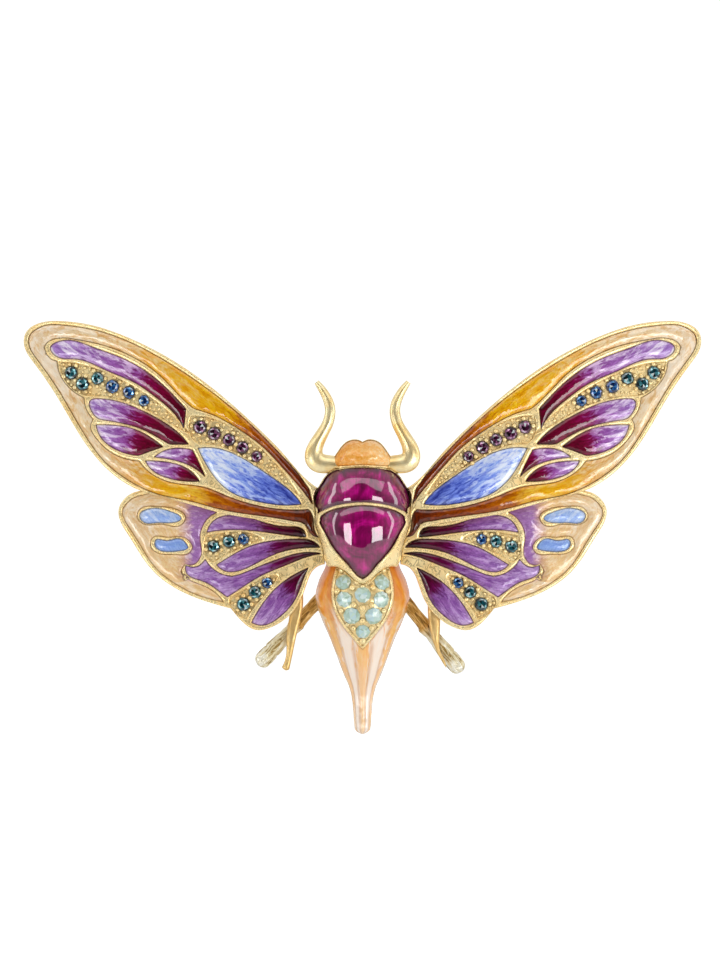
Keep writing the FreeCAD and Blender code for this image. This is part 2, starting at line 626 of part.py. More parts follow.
def pin_hinge(wing_back):
    """Two lugs on a plate, a rivet through them, and the pin's eye between them."""
    place = size["hinge_place"]
    upright = Vector(0, 0, 1)
    inner = size["lug_gap"] / 2
    outer = inner + size["lug_thick"]
    lugs = []
    for number, bottom in enumerate((-outer, inner)):
        ear = cylinder(f"lug_ear_{number}", {"Radius": "sizes.eye_radius", "Height": "sizes.lug_thick"},
                       Vector(place, 0, bottom), upright)
        web = block(f"lug_web_{number}", (place - size["eye_radius"], place + size["eye_radius"]),
                    (size["foot_plate_back"] - 0.2, 0), (bottom, bottom + size["lug_thick"]))
        lugs += [ear, web]
    whole = common("hinge_blank", fuse("hinge_fused", [foot_plate("hinge_plate", place)] + lugs), wing_back)
    bore = cylinder("rivet_bore", {"Radius": "sizes.rivet_radius", "Height": "sizes.foot_plate_tall"},
                    Vector(place, 0, -size["foot_plate_tall"] / 2), upright)
    node("pin_hinge_bracket", cut("pin_hinge_bracket", whole, bore))

    shank = cylinder("rivet_shank", {"Radius": "sizes.rivet_radius",
                                     "Height": "sizes.lug_gap + 2 * sizes.lug_thick"},
                     Vector(place, 0, -outer), upright)
    heads = []
    for number, bottom in enumerate((-outer - size["rivet_head_thick"], outer)):
        heads.append(cylinder(f"rivet_head_{number}", {"Radius": "sizes.rivet_head",
                                                       "Height": "sizes.rivet_head_thick"},
                              Vector(place, 0, bottom), upright))
    node("pin_rivet", fuse("pin_rivet", [shank] + heads))

    forward = Vector(1, 0, 0)
    eye = cylinder("pin_eye", {"Radius": "sizes.eye_radius", "Height": "sizes.eye_thick"},
                   Vector(place, 0, -size["eye_thick"] / 2), upright)
    shank_end = size["stem_half"]
    root = cylinder("pin_root", {"Radius": "sizes.stem_radius",
                                 "Height": "-sizes.hinge_place - sizes.stem_half"},
                    Vector(place, 0, 0), forward)
    collar = cylinder("pin_collar", {"Radius": "sizes.collar_radius", "Height": "sizes.collar_long"},
                      Vector(-shank_end - size["collar_long"], 0, 0), forward)
    stem = cylinder("pin_shaft", {"Radius": "sizes.stem_radius", "Height": "2 * sizes.stem_half"},
                    Vector(-shank_end, 0, 0), forward)
    taper = cone("pin_taper", {"Radius1": "sizes.stem_radius", "Radius2": "sizes.neck_radius",
                               "Height": "sizes.neck_taper"}, Vector(shank_end, 0, 0), forward)
    neck = cylinder("pin_neck", {"Radius": "sizes.neck_radius", "Height": "sizes.stem_end - sizes.stem_half"},
                    Vector(shank_end, 0, 0), forward)
    point = cone("pin_point", {"Radius1": "sizes.neck_radius", "Radius2": "sizes.neck_radius * 0.1",
                               "Height": "sizes.stem_point"}, Vector(size["stem_end"], 0, 0), forward)
    hole = cylinder("pin_eye_hole", {"Radius": "sizes.rivet_radius + sizes.rivet_running",
                                     "Height": "sizes.foot_plate_tall"},
                    Vector(place, 0, -size["foot_plate_tall"] / 2), upright)
    node("pin_stem", cut("pin_stem", fuse("pin_blank", [eye, root, collar, stem, taper, neck, point]), hole))


def catch(wing_back):
    """A slotted ring on a post, and the slotted barrel that turns in it to shut the pin in."""
    forward = Vector(1, 0, 0)
    place = size["catch_place"]
    start = place - size["catch_long"] / 2
    end = place + size["catch_long"] / 2
    ring = cylinder("catch_ring", {"Radius": "sizes.catch_outer", "Height": "sizes.catch_long"},
                    Vector(start, 0, 0), forward)
    half_post = size["post_tall"] / 2
    post = block("catch_post", (start, end), (size["foot_plate_back"] - 0.2, 0), (-half_post, half_post))
    blank = fuse("catch_fused", [foot_plate("catch_plate", place), post, ring])
    whole = common("catch_blank", blank, wing_back)
    bore = cylinder("catch_hollow", {"Radius": "sizes.catch_bore", "Height": "sizes.catch_long + 2"},
                    Vector(start - 1, 0, 0), forward)
    half_slot = size["catch_slot"] / 2
    mouth = block("catch_mouth", (start - 1, end + 1), (0, 3), (-half_slot, half_slot))
    node("catch_ring", cut("catch_housing", whole, fuse("catch_space", [bore, mouth])))

    gap = size["barrel_running"]
    thick = size["flange_thick"]
    drum = cylinder("barrel_drum", {"Radius": "sizes.catch_bore - sizes.barrel_running",
                                    "Height": "sizes.catch_long + 2 * sizes.barrel_running"},
                    Vector(start - gap, 0, 0), forward)
    flanges = []
    for number, left in enumerate((start - gap - thick, end + gap)):
        flanges.append(cylinder(f"barrel_flange_{number}", {"Radius": "sizes.flange_radius",
                                                            "Height": "sizes.flange_thick"},
                                Vector(left, 0, 0), forward))
    tab_start = end + gap
    reach = size["flange_radius"] + size["tab_long"]
    tab = block("barrel_tab", (tab_start, tab_start + size["tab_thick"]),
                (-size["tab_wide"] / 2, size["tab_wide"] / 2), (-reach, -1.0))
    tunnel = cylinder("barrel_hole", {"Radius": "sizes.barrel_bore", "Height": "sizes.catch_long + 4"},
                      Vector(start - 2, 0, 0), forward)
    half_slot = size["barrel_slot"] / 2
    slot = block("barrel_mouth", (start - 2, end + 2), (0, 3), (-half_slot, half_slot))
    solid = fuse("barrel_blank", [drum, tab] + flanges)
    node("catch_barrel", cut("catch_barrel", solid, fuse("barrel_space", [tunnel, slot])))


thorax_prism = prism("thorax_cutter", [mirrored(THORAX)])
domed_casting("thorax", THORAX, {"thorax_upper_enamel": THORAX_UPPER, "thorax_lower_enamel": THORAX_LOWER})
domed_casting("head", HEAD, {"head_enamel": HEAD_CELL}, neighbour=thorax_prism)
abdomen(thorax_prism)
head_prism = prism("head_cutter", [mirrored(HEAD)])
wing_back = arch("wing_back", "sizes.arch_radius")
for side_name in SIDES:
    wing("hindwing", side_name, HINDWING, HINDWING_CELLS, HINDWING_SETTINGS, HINDWING_STONES,
         "sizes.arch_radius", thorax_prism)
    wing("forewing", side_name, FOREWING, FOREWING_CELLS, FOREWING_SETTINGS, FOREWING_STONES,
         "sizes.arch_radius + sizes.plate + sizes.wall", thorax_prism)
    horn(side_name, head_prism)
for name, outline in LEAF_LEGS.items():
    leaf_leg(name, outline)
for name, (start, end, knot) in ROD_LEGS.items():
    rod_leg(name, start, end, knot)
pin_hinge(wing_back)
catch(wing_back)
doc.recompute()

for item in doc.Objects:
    if "Invalid" in item.State or "Error" in item.State:
        raise RuntimeError(f"{item.Label} failed: {item.State}")
for name, item in nodes.items():
    if item.Shape.isNull() or not item.Shape.isValid() or not item.Shape.Solids:
        raise RuntimeError(f"{name} has no valid solid")
os.makedirs("parts", exist_ok=True)
for name, item in nodes.items():
    item.Shape.exportStep(f"parts/{name}.step")
    print(name, len(item.Shape.Solids), round(item.Shape.Volume, 2))
print(len(nodes), "nodes")
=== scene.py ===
"""Looks of the insect brooch: rounded gilt castings, crowned enamel, cut stones and the studio around them.

Shapes are worked out in millimetres, seen from the front as (x, z), and written to the meshes in metres.
"""
import math
import random

import bmesh
import bpy
import numpy as np
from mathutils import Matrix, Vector, kdtree, noise
from mathutils.geometry import delaunay_2d_cdt


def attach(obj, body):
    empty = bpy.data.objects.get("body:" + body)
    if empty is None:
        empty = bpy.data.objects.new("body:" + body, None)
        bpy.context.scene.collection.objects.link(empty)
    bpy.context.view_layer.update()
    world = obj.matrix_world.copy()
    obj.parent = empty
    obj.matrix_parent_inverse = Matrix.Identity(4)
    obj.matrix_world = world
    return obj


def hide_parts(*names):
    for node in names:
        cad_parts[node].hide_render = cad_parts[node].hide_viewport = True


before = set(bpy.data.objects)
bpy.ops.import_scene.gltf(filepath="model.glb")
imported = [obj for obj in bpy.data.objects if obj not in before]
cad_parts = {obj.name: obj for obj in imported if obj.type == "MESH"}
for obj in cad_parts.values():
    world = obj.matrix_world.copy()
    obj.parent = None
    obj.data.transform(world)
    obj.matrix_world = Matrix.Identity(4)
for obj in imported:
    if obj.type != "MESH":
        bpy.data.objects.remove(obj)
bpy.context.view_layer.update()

MM = 0.001
SIDES = {"left": -1, "right": 1}

# The surfaces that the pieces lie on.
ARCH_AXIS = 194.8
WING_BACK = {"hindwing": 200.0, "forewing": 201.3}
PLATE = 0.75
WALL = 0.55
SETTING_DEPTH = 0.35
DOME_ENAMEL = 0.5
BODY_BACK = -5.2
ABDOMEN_BACK = -4.05
ABDOMEN_AXIS = -3.2
ABDOMEN_WAIST = -8.0
ABDOMEN_TILT = math.radians(6.2)
ABDOMEN_TOP = -7.0
ABDOMEN_TAIL = -29.57
ABDOMEN_PROFILE = [
    (4.9, -7.0), (5.05, -7.6), (5.8, -9.1), (6.22, -10.6), (6.3, -11.6), (6.0, -13), (5.2, -15),
    (4.3, -17), (3.6, -18.8), (2.95, -20.6), (2.4, -22), (1.85, -23.2), (1.5, -24.4), (1.3, -25.8),
    (1.18, -27.3), (1.12, -28.3), (1.06, -28.9), (0.9, -29.25), (0.6, -29.48), (0.15, -29.57)
]
SETTING_RISE = 0.45
SETTING_SINK = 0.24
HORN_FRONT = -8.9
HORN_DEPTH = 1.7
LEAF_LEG = 0.85
ROD_AXIS = -2.98

# How finely outlines and faces are divided.
OUTLINE_STEP = 0.22
EDGE_ROWS = (0.07, 0.16, 0.28, 0.42)
FILL_ROWS = (0.06, 0.15, 0.27, 0.42)
CASTING_SPACING = 0.5
FILL_SPACING = 0.4
CORNER = math.radians(33)
WELD = 0.002
CELL_GROWTH = 0.05
RIM = 0.62
SPECK = 0.05
POINT_GAP = 0.06
RUN_STEP = 0.05
GRAIN_SPACING = 0.62
GRAINS_ROUND_STONE = 24
CREVICE_RAYS = 24

# The view: places are in metres, the lens and its sensor in mm.
EYE = (-0.000335, -0.4313, 0.00362)
LENS = 120
SENSOR = 36
EXPOSURE = -0.7
SURROUNDINGS = (1.9, 1.9, 1.9, 1)
FLOOR_CORNERS = [(-0.3, -0.2, -0.08), (0.3, -0.2, -0.08), (0.3, 0.1, -0.08), (-0.3, 0.1, -0.08)]
FLOOR_COLOUR = (0.9, 0.9, 0.89, 1)

# Each light's place, aim and size in mm, and its brightness. The cards add nothing to matt light.
LIGHTS = {
    "overhead": ((0, -230, 230), (0, 0, 0), (900, 130), 2.8),
    "left_window": ((-200, -275, -125), (0, 0, 0), (110, 170), 12),
    "right_window": ((205, -275, -105), (0, 0, 0), (180, 170), 12),
    "left_rim": ((-340, -70, 30), (0, 0, 0), (50, 300), 6),
    "right_rim": ((340, -70, 30), (0, 0, 0), (50, 300), 6),
    "left_card": ((-230, -215, -265), (0, 0, -17), (260, 130), 9),
    "right_card": ((230, -215, -265), (0, 0, -17), (260, 130), 9),
}
CARDS = ("left_card", "right_card")


class Arch:
    """An upright cylinder about the wings' common axis."""

    def __init__(self, radius):
        self.radius = radius

    def depth(self, points, rise):
        return ARCH_AXIS - np.sqrt((self.radius + rise) ** 2 - points[:, 0] ** 2)


class Dome:
    """The front half of an ellipsoid."""

    def __init__(self, centre, middle, wide, deep, tall):
        self.centre = centre
        self.middle = middle
        self.halves = (wide, deep, tall)

    def depth(self, points, rise):
        wide, deep, tall = (half + rise for half in self.halves)
        left = 1 - (points[:, 0] / wide) ** 2 - ((points[:, 1] - self.middle) / tall) ** 2
        return self.centre - deep * np.sqrt(np.maximum(left, 0.0004))


class Turned:
    """The front of the abdomen, which is turned about a tilted upright axis."""

    def __init__(self, lift=0.0):
        self.lift = lift

    def axis(self, z):
        return ABDOMEN_AXIS + (z - ABDOMEN_WAIST) * math.tan(ABDOMEN_TILT)

    def radius(self, z):
        half, height = zip(*ABDOMEN_PROFILE)
        return np.interp(-z, -np.array(height), half)

    def depth(self, points, rise):
        radius = self.radius(points[:, 1]) + self.lift + rise
        depth = self.axis(points[:, 1]) - np.sqrt(np.maximum(radius ** 2 - points[:, 0] ** 2, 0.04))
        return np.minimum(depth, ABDOMEN_BACK - 0.15)


def cad_arrays(node):
    """A CAD node's welded points in mm and its triangles."""
    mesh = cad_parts[node].data
    mesh.calc_loop_triangles()
    points = np.empty(len(mesh.vertices) * 3)
    mesh.vertices.foreach_get("co", points)
    triangles = np.empty(len(mesh.loop_triangles) * 3, int)
    mesh.loop_triangles.foreach_get("vertices", triangles)
    points, index = np.unique(np.round(points.reshape(-1, 3) / MM, 4), axis=0, return_inverse=True)
    return points, index.ravel()[triangles].reshape(-1, 3)


def border_edges(triangles):
    """The edges that only one of the triangles has, as pairs of point numbers."""
    directed = set()
    for a, b, c in triangles.tolist():
        if a != b and b != c and c != a:
            directed.update(((a, b), (b, c), (c, a)))
    return sorted((a, b) for a, b in directed if (b, a) not in directed)


def chain(triangles):
    """The closed borders of a set of triangles, as lists of point numbers."""
    following = {}
    for a, b in border_edges(triangles):
        following.setdefault(a, []).append(b)
    borders = []
    while following:
        border = [next(iter(following))]
        while border[-1] in following:
            ways = following[border[-1]]
            border.append(ways.pop())
            if not ways:
                del following[border[-2]]
        borders.append(border[:-1])
    return borders


def facing_triangles(points, triangles, way):
    """The triangles that face the front, where way is -1, or the back, where it is 1."""
    normal = np.cross(points[triangles[:, 1]] - points[triangles[:, 0]],
                      points[triangles[:, 2]] - points[triangles[:, 0]])
    return triangles[way * normal[:, 1] > 0.05 * np.linalg.norm(normal, axis=1)]


def area(loop):
    x, z = loop[:, 0], loop[:, 1]
    return 0.5 * float(np.sum(x * np.roll(z, -1) - z * np.roll(x, -1)))


def front_loops(node, level=None):
    """Outlines of a node's front faces, or only of those at a level, a (surface, rise) pair."""
    points, triangles = cad_arrays(node)
    front = facing_triangles(points, triangles, -1)
    if level:
        surface, rise = level
        off = np.abs(surface.depth(points[:, [0, 2]], rise) - points[:, 1]) < 0.03
        front = front[off[front].all(axis=1)]
    loops = [points[border][:, [0, 2]] for border in chain(front)]
    return sorted(loops, key=lambda loop: -abs(area(loop)))


def back_outline(node):
    """The outline of a node's back."""
    points, triangles = cad_arrays(node)
    loops = [points[border][::-1, [0, 2]] for border in chain(facing_triangles(points, triangles, 1))]
    return max(loops, key=area)


def smoothed(values, times):
    """Values evened out in place against their neighbours, with both ends kept."""
    for _ in range(times):
        values[1:-1] = 0.25 * values[:-2] + 0.5 * values[1:-1] + 0.25 * values[2:]
    return values


def run_along(points):
    """The way along a line to each of its points."""
    return np.concatenate([[0], np.cumsum(np.linalg.norm(np.diff(points, axis=0), axis=1))])


def resample(loop, corner=CORNER):
    """Even points along a closed outline, smoothed between its corners."""
    behind = loop - np.roll(loop, 1, 0)
    ahead = np.roll(loop, -1, 0) - loop
    turn = np.arctan2(behind[:, 0] * ahead[:, 1] - behind[:, 1] * ahead[:, 0], (behind * ahead).sum(1))
    corners = np.flatnonzero(np.abs(turn) > corner)
    closed = len(corners) == 0
    start = 0 if closed else corners[0]
    ring = np.vstack([np.roll(loop, -start, 0), loop[start]])
    stops = [0, len(loop)] if closed else [*(corners - start), len(loop)]
    stretches = []
    for first, last in zip(stops, stops[1:]):
        part = ring[first:last + 1]
        run = run_along(part)
        places = np.linspace(0, run[-1], max(2, round(run[-1] / OUTLINE_STEP)) + 1)
        even = np.column_stack([np.interp(places, run, column) for column in part.T])
        stretches.append(smoothed(even, 3)[:-1])
    return np.vstack(stretches).astype(np.float32).astype(float)


def outwards(loop):
    """Each point's direction away from the area that the outline bounds."""
    along = np.roll(loop, -1, 0) - np.roll(loop, 1, 0)
    along /= np.maximum(np.linalg.norm(along, axis=1), 1e-9)[:, None]
    return np.column_stack([along[:, 1], -along[:, 0]])


def swell(loop, amount):
    """Move an outline outwards by an amount."""
    return (loop + outwards(loop) * amount).astype(np.float32).astype(float)


def inside(loops, points):
    """Whether each point is inside the loops, by the even-odd rule."""
    odd = np.zeros(len(points), bool)
    for loop in loops:
        low, high = loop.min(0), loop.max(0)
        near = np.flatnonzero(((points > low) & (points < high)).all(1))
        if not len(near):
            continue
        x, z = points[near, 0][:, None], points[near, 1][:, None]
        ahead = np.roll(loop, -1, 0)
        crosses = (loop[:, 1] > z) != (ahead[:, 1] > z)
        with np.errstate(divide="ignore", invalid="ignore"):
            at = loop[:, 0] + (z - loop[:, 1]) * (ahead[:, 0] - loop[:, 0]) / (ahead[:, 1] - loop[:, 1])
        odd[near] ^= (crosses & (x < at)).sum(1) % 2 == 1
    return odd


class Edges:
    """Distances to a set of outlines."""

    def __init__(self, loops):
        samples = []
        for loop in loops:
            for start, end in zip(loop, np.roll(loop, -1, 0)):
                count = max(1, math.ceil(np.linalg.norm(end - start) / RUN_STEP))
                share = (np.arange(count) / count)[:, None]
                samples.append(start + (end - start) * share)
        self.samples = np.vstack(samples) if samples else np.array([[1e4, 1e4]])
        self.tree = kdtree.KDTree(len(self.samples))
        for number, (x, z) in enumerate(self.samples):
            self.tree.insert((x, z, 0), number)
        self.tree.balance()

    def distance(self, points):
        return np.array([self.tree.find((x, z, 0))[2] for x, z in points])


def beside(loop, distance):
    """Rows of points at a distance on both sides of an outline."""
    across = outwards(loop) * distance
    return np.vstack([loop - across, loop + across])


def lattice(loops, spacing):
    """A triangular lattice over the outlines' box."""
    low = np.min([loop.min(0) for loop in loops], 0)
    high = np.max([loop.max(0) for loop in loops], 0)
    rows = []
    for row, z in enumerate(np.arange(low[1], high[1], spacing * math.sqrt(0.75))):
        x = np.arange(low[0] + (row % 2) * spacing / 2, high[0], spacing)
        rows.append(np.column_stack([x, np.full(len(x), z)]))
    return np.vstack(rows)


def thinned(points, gap):
    """The points less those that crowd an earlier one, which would make slivers."""
    kept = {}
    for x, z in points:
        column, row = math.floor(x / gap), math.floor(z / gap)
        beside_it = [kept.get((column + i, row + j)) for i in (-1, 0, 1) for j in (-1, 0, 1)]
        if all(other is None or math.dist(other, (x, z)) >= gap for other in beside_it):
            kept[column, row] = (x, z)
    return np.array(list(kept.values()))


def seeds(loops, edges, rows, spacing):
    """Points inside an area: rows beside its outlines, then a lattice."""
    found = []
    for distance in rows:
        near = np.vstack([beside(loop, distance) for loop in loops])
        near = near[edges.distance(near) > 0.92 * distance]
        found.append(near)
    fill = lattice(loops, spacing)
    found.append(fill[edges.distance(fill) > rows[-1] + 0.4 * spacing])
    return thinned(np.vstack(found), POINT_GAP)


def triangulate(loops, extra):
    """Delaunay triangles through all points, with the outlines kept as edges."""
    lines = []
    first = 0
    for loop in loops:
        count = len(loop)
        lines += [(first + i, first + (i + 1) % count) for i in range(count)]
        first += count
    points = np.vstack(loops + [extra])
    result = delaunay_2d_cdt([Vector(point) for point in points], lines, [], 0, 1e-5)
    points = np.array([tuple(point) for point in result[0]])
    triangles = np.array([face for face in result[2] if len(face) == 3])
    return points, triangles


class Shell:
    """Gathers faces in mm and welds them into one mesh."""

    def __init__(self):
        self.points = []
        self.faces = []
        self.tones = []
        self.values = {}
        self.count = 0

    def add(self, points, faces, tones=None, **values):
        base = self.count
        self.tones += list(tones) if tones is not None else [0.5] * len(faces)
        self.points.append(np.asarray(points, float))
        self.faces += [[base + int(corner) for corner in face] for face in faces]
        self.count += len(points)
        for name in set(self.values) | set(values):
            column = self.values.setdefault(name, [np.zeros(base)])
            column.append(np.asarray(values.get(name, np.zeros(len(points))), float))

    def sheet(self, points, depth, faces, **values):
        """Faces through points that lie each at its own depth."""
        self.add(np.column_stack([points[:, 0], depth, points[:, 1]]), faces, **values)

    def walls(self, points, triangles, top, low, **values):
        """Walls between two depths, round the border of a set of triangles."""
        count = len(points)
        faces = [(a, b, count + b, count + a) for a, b in border_edges(triangles)]
        values = {name: np.tile(value, 2) for name, value in values.items()}
        self.sheet(np.vstack([points, points]), np.concatenate([top, low]), faces, **values)

    def mesh(self, name, side, sharp):
        points = np.vstack(self.points) * MM
        points[:, 0] *= side
        data = bpy.data.meshes.new(name)
        data.from_pydata(points.tolist(), [], self.faces)
        for label, columns in self.values.items():
            layer = data.attributes.new(label, "FLOAT", "POINT")
            layer.data.foreach_set("value", np.concatenate(columns).astype(np.float32))
        data.attributes.new("tone", "FLOAT", "FACE").data.foreach_set("value", self.tones)
        shape = bmesh.new()
        shape.from_mesh(data)
        bmesh.ops.remove_doubles(shape, verts=shape.verts, dist=WELD * MM)
        bmesh.ops.dissolve_degenerate(shape, edges=shape.edges, dist=1e-7)
        unused = [corner for corner in shape.verts if not corner.link_faces]
        bmesh.ops.delete(shape, geom=unused, context="VERTS")
        bmesh.ops.recalc_face_normals(shape, faces=shape.faces)
        shape.to_mesh(data)
        shape.free()
        data.shade_smooth()
        data.set_sharp_from_angle(angle=math.radians(sharp))
        return data


def linked(name, data):
    """A new object in the scene."""
    made = bpy.data.objects.new(name, data)
    bpy.context.scene.collection.objects.link(made)
    return made


def place(shell, name, look, slot, node=None, side=1, sharp=50):
    """Put a shell in the scene as a piece of the brooch's body, in place of a CAD node."""
    data = shell.mesh(name, side, sharp)
    piece = linked(name, data)
    data.materials.append(MATERIALS[look])
    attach(piece, "root")
    if node:
        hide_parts(node)


def rounded(distance, radius):
    """Height below a flat top for an edge rounded over with a radius."""
    short = 1 - np.minimum(distance / radius, 1)
    return -radius * (1 - np.sqrt(1 - short ** 2))


def casting(surface, outline, cells, settings, floor, back, edge=0.24, sink=SETTING_DEPTH):
    """A casting: rounded walls round sunken cells, sunken settings and a plain back.

    The back is a thickness, or a plane's y in a list.
    """
    shell = Shell()
    cell_loops = [loop for loops in cells for loop in loops]
    loops = [outline] + cell_loops + settings
    edges = Edges(loops)
    extra = seeds(loops, edges, EDGE_ROWS, CASTING_SPACING)
    extra = extra[inside([outline], extra) & ~inside(cell_loops, extra)]
    points, triangles = triangulate(loops, extra)
    middles = points[triangles].mean(1)
    held = inside([outline], middles)
    triangles, middles = triangles[held], middles[held]
    in_cell = inside(cell_loops, middles)
    in_setting = inside(settings, middles) & ~in_cell
    distance = edges.distance(points)
    rise = rounded(distance, edge)
    sunk = np.zeros(len(points), bool)
    sunk[triangles[in_setting]] = True
    sunk &= distance > 0.03
    rise[sunk] = -sink
    top = surface.depth(points, rise)
    bottom = surface.depth(points, np.full(len(points), -floor))
    if isinstance(back, list):
        rear = np.full(len(points), back[0])
    else:
        rear = surface.depth(points, np.where(Edges([outline]).distance(points) > 0.05, 0.0, 0.1) - back)
    plain = np.full(len(points), 0.3)
    shell.sheet(points, top, triangles[~in_cell], edge=np.where(sunk, 0.0, distance))
    shell.sheet(points, bottom, triangles[in_cell])
    shell.walls(points, triangles[in_cell], top, bottom)
    shell.walls(points, triangles, top, rear, edge=plain)
    shell.sheet(points, rear, triangles, edge=plain)
    return shell


def filling(surface, loops, floor, along, seed, brim, crown, width, relief=None):
    """Enamel in a cell, over a flat floor.

    Its slightly uneven top starts below the surface by the brim and rises by the crown over a width.
    """
    shell = Shell()
    edges = Edges(loops)
    extra = seeds(loops, edges, FILL_ROWS, FILL_SPACING)
    extra = extra[inside(loops, extra)]
    points, triangles = triangulate(loops, extra)
    triangles = triangles[inside(loops, points[triangles].mean(1))]
    distance = edges.distance(points)
    share = np.minimum(distance / width, 1)
    ripple = np.array([noise.noise((x * 0.4, z * 0.4, seed)) for x, z in points])
    rise = -brim + crown * (1 - (1 - share) ** 2) + 0.14 * ripple * share
    if relief:
        rise += relief(points) * share
    top = surface.depth(points, rise)
    bottom = surface.depth(points, np.full(len(points), -floor))
    values = {"edge": distance, **along(points)}
    shell.sheet(points, top, triangles, **values)
    shell.sheet(points, bottom, triangles, **values)
    shell.walls(points, triangles, top, bottom, **values)
    return shell


def linear(code):
    """A hexadecimal sRGB colour as linear values, fully opaque."""
    parts = [int(code[i:i + 2], 16) / 255 for i in (1, 3, 5)]
    return tuple(((c + 0.055) / 1.055) ** 2.4 if c > 0.04045 else c / 12.92 for c in parts) + (1.0,)


class Nodes:
    """A node tree, built node by node; a colour can be given as a hexadecimal code."""

    def __init__(self, tree):
        self.tree = tree

    def node(self, kind, inputs=None, **settings):
        made = self.tree.nodes.new("ShaderNode" + kind)
        for label, value in settings.items():
            setattr(made, label, value)
        for label, value in (inputs or {}).items():
            self.feed(made.inputs[label], value)
        return made

    def feed(self, socket, value):
        if isinstance(value, bpy.types.NodeSocket):
            self.tree.links.new(value, socket)
        else:
            socket.default_value = linear(value) if isinstance(value, str) else value

    def attribute(self, name):
        return self.node("Attribute", attribute_name=name).outputs["Fac"]

    def place(self):
        return self.node("TexCoord").outputs["Object"]

    def maths(self, operation, first, second=0.0, third=0.0):
        made = self.node("Math", operation=operation)
        for socket, value in zip(made.inputs, (first, second, third)):
            self.feed(socket, value)
        return made.outputs[0]

    def times(self, first, second):
        return self.maths("MULTIPLY", first, second)

    def plus(self, first, second):
        return self.maths("ADD", first, second)

    def swing(self, source, amount):
        """How far a noise is above or below its middle, times an amount."""
        return self.times(self.maths("SUBTRACT", source, 0.5), amount)

    def vector(self, x, y, z=0.0):
        return self.node("CombineXYZ", {"X": x, "Y": y, "Z": z}).outputs[0]

    def noise(self, where, scale, detail=2.0, roughness=0.5, distortion=0.0):
        made = self.node("TexNoise", {"Vector": where, "Scale": scale, "Detail": detail,
                                      "Roughness": roughness, "Distortion": distortion})
        return made.outputs["Fac"]

    def ramp(self, factor, stops, smooth=False):
        """A colour ramp; stops are (place, colour) pairs, a colour being a code or a grey."""
        made = self.node("ValToRGB", {"Fac": factor})
        band = made.color_ramp
        band.interpolation = "EASE" if smooth else "LINEAR"
        while len(band.elements) < len(stops):
            band.elements.new(0.5)
        for element, (place, shade) in zip(band.elements, stops):
            element.position = place
            element.color = linear(shade) if isinstance(shade, str) else (shade, shade, shade, 1)
        return made.outputs["Color"]

    def mix(self, factor, first, second, blend="MIX"):
        made = self.node("Mix", data_type="RGBA", blend_type=blend)
        self.feed(made.inputs["Factor"], factor)
        self.feed(made.inputs[6], first)
        self.feed(made.inputs[7], second)
        return made.outputs[2]

    def bump(self, height, strength, distance, under=None):
        made = self.node("Bump", {"Height": height, "Strength": strength, "Distance": distance})
        if under:
            self.feed(made.inputs["Normal"], under)
        return made.outputs["Normal"]

    # Ambient occlusion, which the gilt finishes turn into painted shade.
    def crevices(self, distance):
        return self.node("AmbientOcclusion", {"Distance": distance}, samples=CREVICE_RAYS).outputs["AO"]


class Finish(Nodes):
    """A procedural material."""

    def __init__(self, name, **sockets):
        self.material = bpy.data.materials.new(name)
        self.material.use_nodes = True
        super().__init__(self.material.node_tree)
        self.shader = self.tree.nodes["Principled BSDF"]
        for label, value in sockets.items():
            self.set(label.replace("_", " "), value)

    def set(self, label, value):
        self.feed(self.shader.inputs[label], value)


def gold_finish(name, pale, deep, rough, grain, patina_and_shade="#6c4a1c", ridged=False, metal=1.0):
    """Satin gilding: pale in rubbed patches, with a fine cast grain, and painted shade, partly patina, in the
    crevices.

    A ridged casting is polished on its rounded edges and matt on its flats.
    """
    gold = Finish(name, Metallic=metal)
    where = gold.place()
    patches = gold.noise(where, 420, 3.0, 0.6)
    fine = gold.noise(where, 4200, 2.0, 0.6)
    coarse = gold.noise(where, 1300, 3.0, 0.6)
    plated = gold.ramp(patches, [(0.3, deep), (0.62, pale)])
    # Painted shade, partly patina: a dark brown goes where ambient occlusion finds crevices, broken up by
    # noise.
    wear_and_shade = gold.plus(gold.crevices(0.0007), gold.swing(coarse, 0.12))
    dark = gold.ramp(wear_and_shade, [(0.22, 1.0), (0.68, 0.0)])
    base = gold.mix(gold.times(dark, 0.7), plated, patina_and_shade)
    finish = gold.ramp(coarse, [(0.3, rough[0]), (0.72, rough[1])])
    if ridged:
        # Painted shade: the sunken setting floors, where edge is 0, are darkened.
        floor = gold.ramp(gold.attribute("edge"), [(0.0, 0.2), (0.01, 0.0)])
        base = gold.mix(floor, base, "#8c6428")
        matt = gold.ramp(gold.attribute("edge"), [(0.03, 1.0), (0.08, 0.0), (0.26, 0.0), (0.42, 1.0)])
        finish = gold.mix(gold.times(matt, 0.8), finish, (0.55, 0.55, 0.55, 1.0))
        gold.set("Metallic", gold.ramp(matt, [(0.0, 0.52), (1.0, 0.2)]))
    gold.set("Base Color", base)
    gold.set("Roughness", finish)
    normal = gold.bump(coarse, 0.1 * grain, 0.00012)
    gold.set("Normal", gold.bump(fine, 0.35 * grain, 0.00003, normal))
    return gold.material


